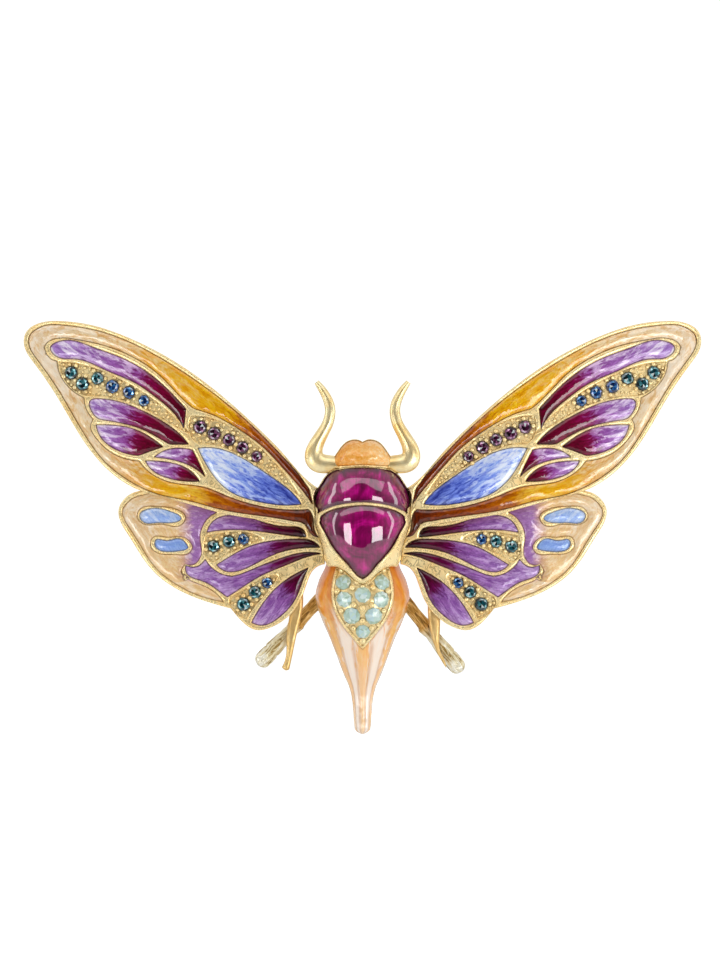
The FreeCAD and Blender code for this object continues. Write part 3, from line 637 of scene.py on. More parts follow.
def bark_finish():
    """The hind legs' metal: dark lengthwise bark, then a pale rubbed foot beyond the knot, with painted shade
    in the crevices.
    """
    gold = Finish("gilt_bark", Metallic=0.7)
    spot = gold.vector(*(gold.times(gold.attribute(way), scale)
                         for way, scale in (("flow", 0.5), ("across", 2.6), ("edge", 2.6))))
    lines = gold.noise(spot, 1.0, 5.0, 0.62, 0.5)
    bark = gold.ramp(lines, [(0.38, "#7c5420"), (0.5, "#cc9c4c"), (0.6, "#f2cc88")])
    wear_and_shade = gold.ramp(lines, [(0.38, "#a08040"), (0.46, "#eadcb0"), (0.58, "#fffae8")])
    foot = gold.ramp(gold.attribute("share"), [(0.44, 0.0), (0.56, 1.0)])
    # Painted shade: a dark brown where ambient occlusion finds crevices.
    dark = gold.times(gold.ramp(gold.crevices(0.0006), [(0.3, 1.0), (0.75, 0.0)]), 0.8)
    gold.set("Base Color", gold.mix(dark, gold.mix(foot, bark, wear_and_shade), "#3c2808"))
    gold.set("Roughness", gold.ramp(lines, [(0.35, 0.5), (0.65, 0.32)]))
    gold.set("Normal", gold.bump(lines, 0.8, 0.00025))
    return gold.material


def enamel_finish(name, stops, highlight_stops, patches=0.85, warp=0.1, rim="#24060f", edge_shade_mix=0.8,
                  deep=0.55, mist=0.0):
    """Pearly enamel under a clear gloss: colours run along the cell, with silky streaks, pale clouds that are
    painted highlights, and painted shade along the cell's edge.
    """
    coat = Finish(name, Metallic=0.15, Specular_IOR_Level=0.04, Coat_Weight=1.0, Coat_Roughness=0.05)
    where = coat.place()
    share, flow = coat.attribute("share"), coat.attribute("flow")
    across, edge = coat.attribute("across"), coat.attribute("edge")
    strand = coat.vector(coat.times(flow, 0.45), coat.times(across, 1.7),
                         coat.times(share, 3.0))
    silk = coat.noise(strand, 1.0, 5.0, 0.65, 1.2)
    drift = coat.vector(coat.times(flow, 0.22), coat.times(across, 0.6),
                        coat.plus(share, 7.0))
    cloud = coat.noise(drift, 1.0, 4.0, 0.6, 1.6)
    grit = coat.noise(where, 5200, 2.0, 0.65)
    shift = coat.swing(silk, warp * 4)
    base = coat.ramp(coat.plus(share, shift), stops)
    shade = coat.ramp(silk, [(0.38, 1.0), (0.56, 0.0)])
    toned = coat.mix(coat.times(shade, deep), base, coat.mix(1.0, base, base, "MULTIPLY"))
    # Painted highlights: pale clouds from noise, more of them towards the cell's outer end, take the
    # highlight colours.
    highlight_clouds = coat.plus(coat.times(cloud, 0.75), coat.times(silk, 0.25))
    outer = coat.maths("MULTIPLY_ADD", share, 0.14, mist - 0.08)
    glow = coat.ramp(coat.plus(highlight_clouds, outer), [(0.5, 0.0), (0.6, 1.0)])
    toned = coat.mix(coat.times(glow, patches), toned, coat.ramp(share, highlight_stops))
    sparkle = coat.ramp(grit, [(0.35, 0.42), (0.7, 0.6)])
    toned = coat.mix(0.8, toned, sparkle, "OVERLAY")
    thread = coat.vector(coat.times(flow, 0.9), coat.times(across, 6.0), share)
    fibres = coat.ramp(coat.noise(thread, 1.0, 3.0, 0.6, 0.6), [(0.35, 0.36), (0.66, 0.64)])
    toned = coat.mix(0.55, toned, fibres, "OVERLAY")
    # Painted shade: the rim colour darkens the enamel along the cell's edge.
    border = coat.ramp(edge, [(0.02, 1.0), (0.16, 0.0)], True)
    toned = coat.mix(coat.times(border, edge_shade_mix), toned, rim)
    coat.set("Base Color", toned)
    coat.set("Roughness", coat.ramp(silk, [(0.35, 0.5), (0.7, 0.3)]))
    coat.set("Normal", coat.bump(silk, 0.4, 0.0001))
    waves = coat.noise(where, 520, 3.0, 0.5)
    coat.set("Coat Normal", coat.bump(waves, 0.4, 0.0002))
    return coat.material


def crystal_finish(name, dark, middle, light):
    """A cut stone's facets, each with its own painted tone: painted reflections of its foil and its pavilion,
    the brightest being painted glints.
    """
    stone = Finish(name, Metallic=0.4, Coat_Weight=1.0, Coat_Roughness=0.02, Coat_IOR=1.7)
    tone = stone.attribute("tone")
    smear = stone.noise(stone.place(), 2600, 2.0, 0.5)
    told = stone.plus(tone, stone.swing(smear, 0.12))
    tones = [(0.05, dark), (0.34, middle), (0.68, light), (0.95, "#f4ffff")]
    stone.set("Base Color", stone.ramp(told, tones))
    stone.set("Roughness", stone.ramp(smear, [(0.3, 0.06), (0.7, 0.16)]))
    stone.set("Normal", stone.bump(stone.noise(stone.place(), 6000, 1.0), 0.04, 0.00002))
    return stone.material


def thorax_finish():
    """Deep glassy magenta over a finely engraved ground, with painted shade towards the dome's edges."""
    coat = Finish("magenta_enamel", Metallic=0.3, Specular_IOR_Level=0.03, Coat_IOR=1.85, Coat_Weight=1.0,
                  Coat_Roughness=0.03)
    where = coat.place()
    ground = coat.node("Mapping", {"Vector": where, "Scale": (3600, 420, 420)}).outputs[0]
    lines = coat.noise(ground, 1.0, 2.0, 0.5)
    cloud = coat.noise(where, 380, 3.0, 0.6, 0.8)
    glow = coat.ramp(coat.plus(coat.times(cloud, 0.8), coat.times(lines, 0.2)),
                     [(0.36, "#580036"), (0.5, "#90005a"), (0.62, "#cc0a8c")])
    # Painted shade: darker towards the dome's edges.
    border = coat.ramp(coat.attribute("edge"), [(0.0, 1.0), (1.4, 0.0)], True)
    coat.set("Base Color", coat.mix(coat.times(border, 0.8), glow, "#340020"))
    coat.set("Roughness", coat.ramp(lines, [(0.3, 0.5), (0.7, 0.3)]))
    coat.set("Normal", coat.bump(lines, 0.3, 0.00006))
    coat.set("Coat Normal", coat.bump(coat.noise(where, 420, 2.0, 0.5), 0.12, 0.0002))
    return coat.material


def head_finish():
    """Orange enamel with a mottled, sugary ground and painted shade along its edge."""
    coat = Finish("orange_enamel", Metallic=0.15, Specular_IOR_Level=0.1, Coat_Weight=1.0,
                  Coat_Roughness=0.05)
    where = coat.place()
    mottle = coat.noise(where, 1900, 4.0, 0.65, 0.5)
    share = coat.maths("MULTIPLY_ADD", coat.attribute("share"), 0.3, coat.times(mottle, 0.9))
    toned = coat.ramp(share, [(0.3, "#cc7c14"), (0.48, "#f0a038"), (0.64, "#fabc68"), (0.82, "#fcdca8")])
    # Painted shade: a darker band along the enamel's edge.
    edge = coat.ramp(coat.attribute("edge"), [(0.0, 1.0), (0.2, 0.0)], True)
    coat.set("Base Color", coat.mix(coat.times(edge, 0.35), toned, "#b06420"))
    coat.set("Roughness", coat.ramp(mottle, [(0.35, 0.5), (0.7, 0.3)]))
    coat.set("Normal", coat.bump(mottle, 0.5, 0.00012))
    coat.set("Coat Normal", coat.bump(mottle, 0.25, 0.0001))
    return coat.material


def abdomen_finish():
    """Orange pearl that pales towards the tail, with fine lines that follow the taper, pale stripes on its
    flanks that are painted highlights, and painted shade in the creases and beside the plate.

    Its attributes are share from waist to tail, across from -1 to 1, flow for the depth of the creases, and
    edge for the distance from the plate.
    """
    coat = Finish("abdomen_enamel", Metallic=0.1, Specular_IOR_Level=0.1, Coat_Weight=1.0,
                  Coat_Roughness=0.06, Coat_IOR=1.8)
    where = coat.place()
    share, across = coat.attribute("share"), coat.attribute("across")
    lines = coat.vector(coat.times(across, 4.0), coat.times(share, 6.5))
    silk = coat.noise(lines, 1.0, 4.0, 0.62, 1.5)
    threads = coat.vector(coat.times(across, 16.0), coat.times(share, 7.0))
    fine = coat.noise(threads, 1.0, 3.0, 0.6)
    drift = coat.swing(silk, 0.8)
    base = coat.ramp(coat.plus(share, drift), [(0.0, "#e07c0c"), (0.22, "#f09c34"), (0.4, "#f8bc64"),
                                               (0.65, "#fcca90"), (1.0, "#fcd8ac")])
    # Painted highlights: pale stripes along the flanks, from partway down towards the tail.
    wobble = coat.swing(fine, 0.4)
    away = coat.plus(wobble, coat.maths("MULTIPLY_ADD", drift, 0.75, coat.maths("ABSOLUTE", across)))
    flank = coat.ramp(away, [(0.2, 0.0), (0.34, 1.0), (0.7, 1.0), (0.79, 0.0), (0.9, 0.0), (0.97, 0.7)], True)
    below = coat.ramp(coat.plus(share, drift), [(0.2, 0.0), (0.42, 1.0)], True)
    pale = coat.times(coat.times(flank, below), 0.85)
    toned = coat.mix(pale, base, "#fff2e6")
    toned = coat.mix(0.5, toned, coat.ramp(fine, [(0.34, 0.34), (0.66, 0.64)]), "OVERLAY")
    # Painted shade: a darker orange in the creases.
    crease_shade = coat.ramp(coat.attribute("flow"), [(0.2, 0.0), (0.9, 0.5)])
    toned = coat.mix(crease_shade, toned, "#d08a40")
    # Painted shade: darker next to the plate.
    edge = coat.ramp(coat.attribute("edge"), [(0.0, 1.0), (0.3, 0.0)], True)
    coat.set("Base Color", coat.mix(coat.times(edge, 0.5), toned, "#9a5a1c"))
    coat.set("Roughness", coat.ramp(silk, [(0.35, 0.5), (0.7, 0.3)]))
    coat.set("Normal", coat.bump(fine, 0.4, 0.00008))
    coat.set("Coat Normal", coat.bump(coat.noise(where, 800, 2.0, 0.5), 0.3, 0.0002))
    return coat.material


def opal_finish():
    """Milky grey-green glass; each facet has its own tone, with paler and bluer clouds below the surface."""
    stone = Finish("opal", Specular_IOR_Level=0.4, Coat_Weight=1.0, Coat_Roughness=0.03)
    where = stone.place()
    cloud = stone.noise(where, 1100, 3.0, 0.6, 0.6)
    told = stone.plus(stone.times(stone.attribute("tone"), 0.75), stone.times(cloud, 0.25))
    base = stone.ramp(told, [(0.1, "#98b4a4"), (0.35, "#b2ccbc"), (0.55, "#c4dccf"), (0.72, "#b6d4da"),
                             (0.88, "#e6f2ea")])
    stone.set("Base Color", base)
    stone.set("Roughness", stone.ramp(cloud, [(0.3, 0.12), (0.7, 0.3)]))
    stone.set("Normal", stone.bump(cloud, 0.1, 0.0001))
    return stone.material


MATERIALS = {
    "magenta": thorax_finish(),
    "head": head_finish(),
    "abdomen": abdomen_finish(),
    "opal": opal_finish(),
    "teal": crystal_finish("teal_crystal", "#02161c", "#10606e", "#7cc8d0"),
    "blue_stone": crystal_finish("blue_crystal", "#041038", "#0c4c98", "#58acec"),
    "violet": crystal_finish("violet_crystal", "#16020e", "#581440", "#c07cac"),
    "findings": gold_finish("gilt_findings", "#efd49a", "#d9b46e", (0.18, 0.34), 0.3),
    "steel": gold_finish("gilt_pin", "#f1dfb6", "#dcc084", (0.12, 0.25), 0.15),
    "horn": gold_finish("gilt_horn", "#ffeebc", "#f6d084", (0.28, 0.4), 0.25, metal=0.72),
    "leaf": gold_finish("gilt_leaf", "#f8d898", "#dcb064", (0.34, 0.5), 0.4, metal=0.7),
    "rod": bark_finish(),
    "casting": gold_finish("gilt_casting", "#ffeab2", "#fcd892", (0.18, 0.34), 0.45, "#805a24", ridged=True),
    "lilac": enamel_finish(
        "lilac_enamel",
        [(0.0, "#4a0018"), (0.14, "#600020"), (0.32, "#780030"), (0.46, "#86044c"), (0.55, "#944494"),
         (0.66, "#a264b2"), (0.85, "#ac7ec4"), (1.0, "#bc9cd8")],
        [(0.0, "#7c0030"), (0.38, "#980850"), (0.5, "#c890d0"), (0.62, "#e0c4e8"), (1.0, "#f6eefa")]),
    "hind_lilac": enamel_finish(
        "violet_enamel",
        [(0.0, "#240010"), (0.14, "#3c0018"), (0.3, "#5c0030"), (0.44, "#6c0850"), (0.54, "#8a509c"),
         (0.66, "#9a64b0"), (0.85, "#a87abe"), (1.0, "#b894cc")],
        [(0.0, "#7c0030"), (0.38, "#980850"), (0.5, "#b47cc8"), (0.62, "#c8a0dc"), (1.0, "#e4ccf0")],
        0.55, mist=-0.02),
    "border": enamel_finish(
        "border_enamel",
        [(0.0, "#481000"), (0.15, "#742800"), (0.3, "#984200"), (0.4, "#b05c00"), (0.47, "#cc8000"),
         (0.54, "#e2a600"), (0.62, "#eeb814"), (0.7, "#e8b038"), (0.8, "#e8c080"), (0.9, "#eacc9c"),
         (1.0, "#ecd4b2")],
        [(0.0, "#a85810"), (0.4, "#c87820"), (0.55, "#f0c850"), (0.75, "#f8e4b8"), (1.0, "#fdf4e8")],
        0.55, rim="#3c1800", deep=0.5, warp=0.09),
    "peach": enamel_finish(
        "peach_enamel",
        [(0.0, "#a068b0"), (0.4, "#aa7cb8"), (0.56, "#dcb290"), (0.66, "#ecc890"), (1.0, "#ecd2ac")],
        [(0.0, "#e0c4e8"), (0.5, "#e8d0e0"), (0.65, "#fbe8cc"), (1.0, "#fdf4e8")],
        0.6, rim="#6a4010", edge_shade_mix=0.6, deep=0.25, warp=0.05),
    "blue": enamel_finish(
        "blue_enamel",
        [(0.0, "#4858b4"), (0.2, "#5c70cc"), (0.4, "#7890e6"), (0.6, "#98b0f2"), (0.8, "#b4c8f6"),
         (1.0, "#bccef8")],
        [(0.0, "#8098e4"), (0.35, "#b8ccfa"), (0.7, "#e8f0ff"), (1.0, "#f8faff")],
        0.8, rim="#141c50", deep=0.75, warp=0.24, mist=0.03),
    "sky": enamel_finish(
        "sky_enamel",
        [(0.0, "#88a8e8"), (0.5, "#98b6ee"), (1.0, "#a4c0f2")],
        [(0.0, "#c4d8fa"), (1.0, "#e8f0fe")],
        0.5, rim="#3c4c80", edge_shade_mix=0.6, deep=0.2),
}


def flow_along(loops, turn_at=0.5):
    """Gives each point's share of the way along a cell, that way in mm and its offset across, in mm.

    The way runs from the wing's root outwards; the colours change over at turn_at.
    """
    points = np.vstack(loops)
    middle = points.mean(0)
    _, _, axes = np.linalg.svd(points - middle, full_matrices=False)
    axis = axes[0] if axes[0] @ np.array([1.0, 0.15]) > 0 else -axes[0]
    reach = (points - middle) @ axis
    low, high = reach.min(), reach.max()

    def along(where):
        run = (where - middle) @ axis
        share = np.interp((run - low) / (high - low), [0, turn_at, 1], [0, 0.5, 1])
        return {"share": share, "flow": run, "across": (where - middle) @ np.array([-axis[1], axis[0]])}
    return along


# Distances from the middle at which a border reaches each share of its colours, for its lower and upper arms.
FORE_SHARES = [0, 0.15, 0.3, 0.4, 0.47, 0.54, 0.62, 0.7, 0.8, 0.9, 1]
HIND_SHARES = ([18, 22.6, 23.6, 25, 34], [0, 0.42, 0.54, 0.68, 1])
BORDER_SHARES = {
    "forewing": (([5, 9, 15, 18.5, 20.5, 22, 25, 28.5, 31, 36, 46], FORE_SHARES),
                 ([5, 8, 12, 14.5, 16, 17.5, 21, 28.5, 31, 36, 46], FORE_SHARES)),
    "hindwing": (HIND_SHARES, HIND_SHARES),
}
BORDER_BEND = -9.0
UPPER_ARM = (5.0, 8.0)


def border_along(outline, shares):
    """Like flow_along, for a border cell: the way follows the wing's edge."""
    edge = Edges([outline])

    def along(where):
        near = [edge.tree.find((x, z, 0)) for x, z in where]
        run = np.array([found[1] for found in near]) * RUN_STEP
        reach = where[:, 0] + 3 * np.maximum(0, BORDER_BEND - where[:, 1])
        upper = np.interp(where[:, 1], UPPER_ARM, (0, 1))
        share = (1 - upper) * np.interp(reach, *shares[0]) + upper * np.interp(reach, *shares[1])
        return {"share": share, "flow": run, "across": np.array([found[2] for found in near])}
    return along


class Wing:
    """One wing's casting and enamels, made for the right side and mirrored for the left."""

    def __init__(self, label, cells):
        self.label = label
        self.front = Arch(WING_BACK[label] + PLATE + WALL)
        self.cells = {name: self.cell_loops(name) for name in cells}
        frame_node = f"right_{label}_frame"
        self.outline = resample(back_outline(frame_node))
        floors = front_loops(frame_node, (self.front, -SETTING_DEPTH))
        self.settings = [swell(resample(loop), 0.06) for loop in floors if area(loop) > 0]
        self.cells["border_enamel"] = self.thin_rim(self.cells["border_enamel"])

    def cell_loops(self, name):
        """A cell's outlines, a little wider than in the CAD, so that its walls stay thin."""
        loops = []
        for loop in front_loops(f"right_{self.label}_{name}"):
            if abs(area(loop)) < SPECK:
                continue
            plain = name == "eye_enamels" or area(loop) < 0
            loops.append(swell(resample(loop, corner=math.pi if plain else CORNER), CELL_GROWTH))
        return loops

    def thin_rim(self, loops):
        """Widen a border cell towards the wing's edge until the rim there is thin."""
        edge = Edges([self.outline])
        moved = []
        for loop in loops:
            if area(loop) < 0:
                moved.append(loop)
                continue
            distance = edge.distance(loop)
            facing = edge.distance(swell(loop, 0.1)) < distance - 0.07
            extra = np.where(facing & (distance < 2), np.maximum(distance - RIM, 0), 0.0)
            for _ in range(4):
                extra = 0.25 * np.roll(extra, 1) + 0.5 * extra + 0.25 * np.roll(extra, -1)
            moved.append(swell(loop, extra[:, None]))
        return moved

    def build(self):
        for side_name in SIDES:
            wing_stones(self.label, side_name, self.settings)
        shell = casting(self.front, self.outline, list(self.cells.values()), self.settings,
                        WALL, PLATE + WALL)
        for side_name, side in SIDES.items():
            name = f"{side_name}_{self.label}"
            place(shell, f"{name}_casting", "casting", "gilt_casting", f"{name}_frame", side)
        for number, (cell, (material, slot, turn_at)) in enumerate(CELL_LOOKS[self.label].items()):
            loops = self.cells[cell]
            if cell == "border_enamel":
                along = border_along(self.outline, BORDER_SHARES[self.label])
            else:
                along = flow_along(loops, turn_at=turn_at)
            shell = filling(self.front, loops, WALL, along, number, brim=0.3, crown=0.26, width=0.95)
            for side_name, side in SIDES.items():
                name = f"{side_name}_{self.label}_{cell}"
                place(shell, f"{name}_fill", material, slot, name, side)


CELL_LOOKS = {
    "forewing": {
        "border_enamel": ("border", "peach_enamel", 0.5),
        "tip_enamel": ("lilac", "lilac_enamel", 0.38),
        "middle_enamel": ("lilac", "lilac_enamel", 0.58),
        "lower_enamel": ("lilac", "lilac_enamel", 0.46),
        "blue_enamel": ("blue", "blue_enamel", 0.5),
        "inner_enamel": ("lilac", "lilac_enamel", 0.4),
        "corner_enamel": ("lilac", "lilac_enamel", 0.4),
    },
    "hindwing": {
        "border_enamel": ("peach", "peach_enamel", 0.5),
        "eye_enamels": ("sky", "blue_enamel", 0.5),
        "upper_enamel": ("hind_lilac", "lilac_enamel", 0.46),
        "middle_enamel": ("hind_lilac", "lilac_enamel", 0.47),
        "lower_enamel": ("hind_lilac", "lilac_enamel", 0.4),
        "leaf_enamel": ("hind_lilac", "lilac_enamel", 0.4),
    },
}


def normal_at(surface, x, z):
    """The front point of a surface and its outward direction."""
    step = 0.05
    spots = np.array([(x, z), (x + step, z), (x, z + step)])
    depth = surface.depth(spots, 0)
    outward = Vector(((depth[1] - depth[0]) / step, -1, (depth[2] - depth[0]) / step)).normalized()
    return Vector((x, depth[0], z)), outward


def local_points(centre, outward, points):
    """Points given in a stone's own frame, with z outwards, put in place."""
    turn = outward.to_track_quat("Z", "Y").to_matrix()
    return [centre + turn @ Vector(point) for point in points]


def ring(radius, height, count, turn=0.0):
    angles = [math.tau * (i + turn) / count for i in range(count)]
    return [(radius * math.cos(angle), radius * math.sin(angle), height) for angle in angles]


def brilliant(shell, centre, outward, radius, draw):
    """A round brilliant: table, star facets, kites, girdle and pavilion, each facet with its own painted tone
    of reflected light.
    """
    spin = draw.random()
    points = ring(0.6 * radius, 0.4 * radius, 8, spin) + ring(0.84 * radius, 0.25 * radius, 8, spin + 0.5)
    points += ring(radius, 0.06 * radius, 16, 2 * spin)
    points += [(0, 0, 0.4 * radius), (0, 0, -0.62 * radius)]
    faces, tones = [], []
    # Painted reflections: the table's wedges and the other facets get dark, middle or bright tones, and one
    # wedge a painted glint.
    wedges = [0.02, 0.5, 0.18, 0.3, 0.06, 0.42, 0.24, 0.97]
    draw.shuffle(wedges)
    for k in range(8):
        after = (k + 1) % 8
        before = 8 + (k - 1) % 8
        lit = draw.choice((0.08, 0.25, 0.5, 0.85))
        faces += [(k, after, 32), (k, 8 + k, after), (before, 8 + k, k)]
        tones += [wedges[k], draw.choice((0.06, 0.25, 0.7)), lit]
        faces += [(8 + k, 16 + 2 * k + 1, 16 + (2 * k + 2) % 16), (before, 16 + 2 * k, 8 + k),
                  (8 + k, 16 + 2 * k, 16 + 2 * k + 1)]
        tones += [0.02, draw.choice((0.05, 0.4)), 0.15]
        faces += [(16 + 2 * k, 33, 16 + 2 * k + 1), (16 + 2 * k + 1, 33, 16 + (2 * k + 2) % 16)]
        tones += [0.3, 0.3]
    shell.add(local_points(centre, outward, points), faces, tones)


def opal(shell, centre, outward, radius, draw):
    """A low stone with an off-centre peak and broad, uneven facets."""
    count = 9
    spin = draw.random()
    points = ring(0.62 * radius, 0.36 * radius, count, spin) + ring(radius, 0.1 * radius, count, spin + 0.5)
    points += ring(radius, -0.3, count, spin + 0.5)
    points = [(x + draw.uniform(-0.05, 0.05), y + draw.uniform(-0.05, 0.05), z) for x, y, z in points]
    peak = (draw.uniform(-0.25, 0.25) * radius, draw.uniform(-0.25, 0.25) * radius, 0.46 * radius)
    points += [peak, (0, 0, -0.3)]
    top, bottom = 3 * count, 3 * count + 1
    faces, tones = [], []
    for k in range(count):
        after = (k + 1) % count
        faces += [(top, k, after), (k, count + k, after), (after, count + k, count + after),
                  (count + k, 2 * count + k, 2 * count + after, count + after),
                  (bottom, 2 * count + after, 2 * count + k)]
        tones += [draw.random(), draw.random(), draw.random(), 0.1, 0.1]
    shell.add(local_points(centre, outward, points), faces, tones)


def lathe(shell, centre, outward, rows, count):
    """A closed turned shape from (radius, height) rows; the first row lies on the axis."""
    points = [(0, 0, rows[0][1])]
    for radius, height in rows[1:]:
        points += ring(radius, height, count)
    points.append((0, 0, rows[-1][1]))
    faces = [(0, 1 + i, 1 + (i + 1) % count) for i in range(count)]
    for row in range(len(rows) - 2):
        first = 1 + row * count
        faces += [(first + i, first + count + i, first + count + (i + 1) % count, first + (i + 1) % count)
                  for i in range(count)]
    last = 1 + (len(rows) - 2) * count
    faces += [(len(points) - 1, last + (i + 1) % count, last + i) for i in range(count)]
    shell.add(local_points(centre, outward, points), faces, edge=np.full(len(points), 0.2))


def bead(shell, surface, x, z, radius, proud):
    """A round grain whose top stands above the surface by a share of its width."""
    centre, outward = normal_at(surface, x, z)
    rows = [(0, 1.0), (0.5, 0.86), (0.86, 0.5), (1.0, 0.0), (0.9, -0.5)]
    rows = [(share * radius, (rise - 1 + 2 * proud) * radius) for share, rise in rows]
    lathe(shell, centre, outward, rows, 10)


def islands(node):
    """The (x, z, radius) of each stone in a node."""
    points, triangles = cad_arrays(node)
    group = np.arange(len(points))
    while True:
        lowest = group.copy()
        for side in range(3):
            np.minimum.at(lowest, triangles[:, side], group[triangles].min(1))
        lowest = lowest[lowest]
        if (lowest == group).all():
            break
        group = lowest
    found = []
    for label in np.unique(group[triangles]):
        own = points[group == label]
        found.append((float(own[:, 0].mean()), float((own[:, 2].max() + own[:, 2].min()) / 2),
                      float(np.ptp(own[:, 2]) / 2)))
    return sorted(found)


STONE_GROUPS = {
    "forewing": {"teal_crystals": ("teal", "teal_crystal"), "blue_crystals": ("blue_stone", "blue_crystal"),
                 "amethysts": ("violet", "violet_crystal")},
    "hindwing": {"teal_crystals": ("teal", "teal_crystal"), "blue_crystals": ("blue_stone", "blue_crystal")},
}

def wing_stones(label, side_name, settings):
    """Cut stones in one wing, with gilt grains raised round them."""
    side = SIDES[side_name]
    level = Arch(WING_BACK[label] + PLATE + WALL - SETTING_DEPTH)
    grains = Shell()
    stones = []
    for number, (group, (material, slot)) in enumerate(STONE_GROUPS[label].items()):
        name = f"{side_name}_{label}_{group}"
        shell = Shell()
        draw = random.Random(number * 7 + len(label) + side)
        for x, z, radius in islands(name):
            centre, outward = normal_at(level, x, z)
            brilliant(shell, centre + outward * 0.15, outward, radius * 0.97, draw)
            stones.append((x, z, radius))
        place(shell, f"{name}_cut", material, slot, name, sharp=8)
    mirrored = [loop * np.array([side, 1]) for loop in settings]
    borders = Edges(mirrored)
    taken = []

    def free(spot, from_stone, from_grain, from_border):
        return (all(math.dist(spot, (x, z)) > radius + from_stone for x, z, radius in stones)
                and all(math.dist(spot, other) > from_grain for other in taken)
                and borders.distance([spot])[0] > from_border)

    for x, z, radius in stones:
        for step in range(GRAINS_ROUND_STONE):
            angle = math.tau * step / GRAINS_ROUND_STONE + 0.3 * x
            reach = radius + draw.uniform(0.12, 0.26)
            spot = np.array([x + reach * math.cos(angle), z + reach * math.sin(angle)])
            if free(spot, 0.05, 0.74, 0.06):
                taken.append(tuple(spot))
                bead(grains, level, spot[0], spot[1], draw.uniform(0.24, 0.33), 0.7)
    for x, z in lattice(mirrored, GRAIN_SPACING):
        spot = (x + draw.uniform(-0.1, 0.1), z + draw.uniform(-0.1, 0.1))
        if free(spot, 0.3, 0.5, 0.14) and inside(mirrored, np.array([spot]))[0]:
            taken.append(spot)
            bead(grains, level, spot[0], spot[1], draw.uniform(0.18, 0.25), 0.6)
    place(grains, f"{side_name}_{label}_grains", "casting", "gilt_casting")


THORAX_DOMES = ("thorax_upper_enamel", "thorax_lower_enamel")
# The lower dome narrows towards its tip: shares of its CAD width, by height.
LOWER_DOME_TAPER = ([-5.8, -4.0, -2.5, -1.0, 0.0], [0.77, 0.83, 0.9, 0.97, 1.0])


def thorax():
    """The thorax casting and its two magenta domes."""
    surface = Dome(-4, -1.5, 7.2, 8.5, 12)
    outline = resample(front_loops("thorax_base")[0])
    cells = {}
    for name, other in zip(THORAX_DOMES, THORAX_DOMES[::-1]):
        loop = resample(front_loops(name)[0])
        rib = Edges([front_loops(other)[0]]).distance(loop) < 1.1
        if name == "thorax_lower_enamel":
            loop = loop * np.column_stack([np.interp(loop[:, 1], *LOWER_DOME_TAPER), np.ones(len(loop))])
        cells[name] = [swell(loop, np.where(rib, -0.02, 0.14)[:, None])]
    shell = casting(surface, outline, list(cells.values()), [], DOME_ENAMEL, [BODY_BACK], edge=0.3)
    place(shell, "thorax_casting", "casting", "gilt_casting", "thorax_base")
    for number, (name, loops) in enumerate(cells.items()):
        shell = filling(surface, loops, DOME_ENAMEL, flow_along(loops), number, brim=0.36, crown=0.35,
                        width=1.6)
        place(shell, f"{name}_fill", "magenta", "magenta_enamel", name)


def head():
    """The head's casting and its orange enamel, which swells in two lobes."""
    surface = Dome(-4.5, 6.5, 5.2, 6.3, 4.2)
    outline = resample(front_loops("head_base")[0])
    loops = [swell(resample(loop), 0.1) for loop in front_loops("head_enamel")[:1]]
    shell = casting(surface, outline, [loops], [], DOME_ENAMEL, [BODY_BACK], edge=0.2)
    place(shell, "head_casting", "casting", "gilt_casting", "head_base")

    def lobes(points):
        return -0.32 * np.exp(-(points[:, 0] / 0.55) ** 2) * np.clip((points[:, 1] - 6.6) / 1.5, 0, 1)
    shell = filling(surface, loops, DOME_ENAMEL, flow_along(loops), 5, brim=0.3, crown=0.36, width=1.2,
                    relief=lobes)
    place(shell, "head_enamel_fill", "head", "orange_enamel", "head_enamel")


def hump(value, middle, width):
    return math.exp(-((value - middle) / width) ** 2)


def fold_height(share, z):
    """Lengthwise folds of the abdomen, by the share of its half-width from the middle."""
    away = abs(share)
    flank = min(1.0, max(0.0, (-9.5 - z) / 5))
    keel = min(1.0, max(0.0, (-16.6 - z) / 1.5))
    folds = flank * (0.1 * hump(away, 0.88, 0.08) - 0.12 * hump(away, 0.75, 0.07))
    return folds + keel * (0.16 * hump(away, 0, 0.16) - 0.12 * hump(away, 0.3, 0.1))


def tube_faces(rows, around):
    """Faces between the rings of a tube."""
    return [(r * around + c, r * around + (c + 1) % around, (r + 1) * around + (c + 1) % around,
             (r + 1) * around + c) for r in range(rows - 1) for c in range(around)]


def abdomen_skin(plate):
    """Enamel over the abdomen: rings about its axis, with a low keel below the plate."""
    surface = Turned()
    shell = Shell()
    heights = np.linspace(ABDOMEN_TOP, ABDOMEN_TAIL + 0.02, 130)
    radii = smoothed(surface.radius(heights), 3)
    around = 121
    points, creases, sines = [], [], []
    for z, radius in zip(heights, radii):
        axis = surface.axis(z)
        reach = math.acos(max(-0.999, min(0.97, (axis - ABDOMEN_BACK) / radius)))
        for angle in np.linspace(-reach, reach, around):
            ripple = 0.08 * noise.noise((radius * math.sin(angle) * 0.8, z * 0.16, 3.0)) * math.cos(angle)
            fold = fold_height(math.sin(angle), z) if abs(angle) < 1.5 else 0.0
            creases.append(max(0.0, -fold) / 0.12)
            sines.append(math.sin(angle))
            out = radius + fold * min(1.0, radius / 3) + ripple
            points.append((out * math.sin(angle), axis - out * math.cos(angle), z))
    points = np.array(points)
    rows = len(heights)
    faces = tube_faces(rows, around)
    faces += [tuple(range(around - 1, -1, -1)), tuple(range((rows - 1) * around, rows * around))]
    flat = points[:, [0, 2]]
    share = np.clip((ABDOMEN_TOP - points[:, 2]) / (ABDOMEN_TOP - ABDOMEN_TAIL), 0, 1)
    shell.add(points, faces, share=share, flow=np.array(creases), across=np.array(sines),
              edge=Edges([plate]).distance(flat))
    place(shell, "abdomen_skin", "abdomen", "orange_enamel", "abdomen_enamel")


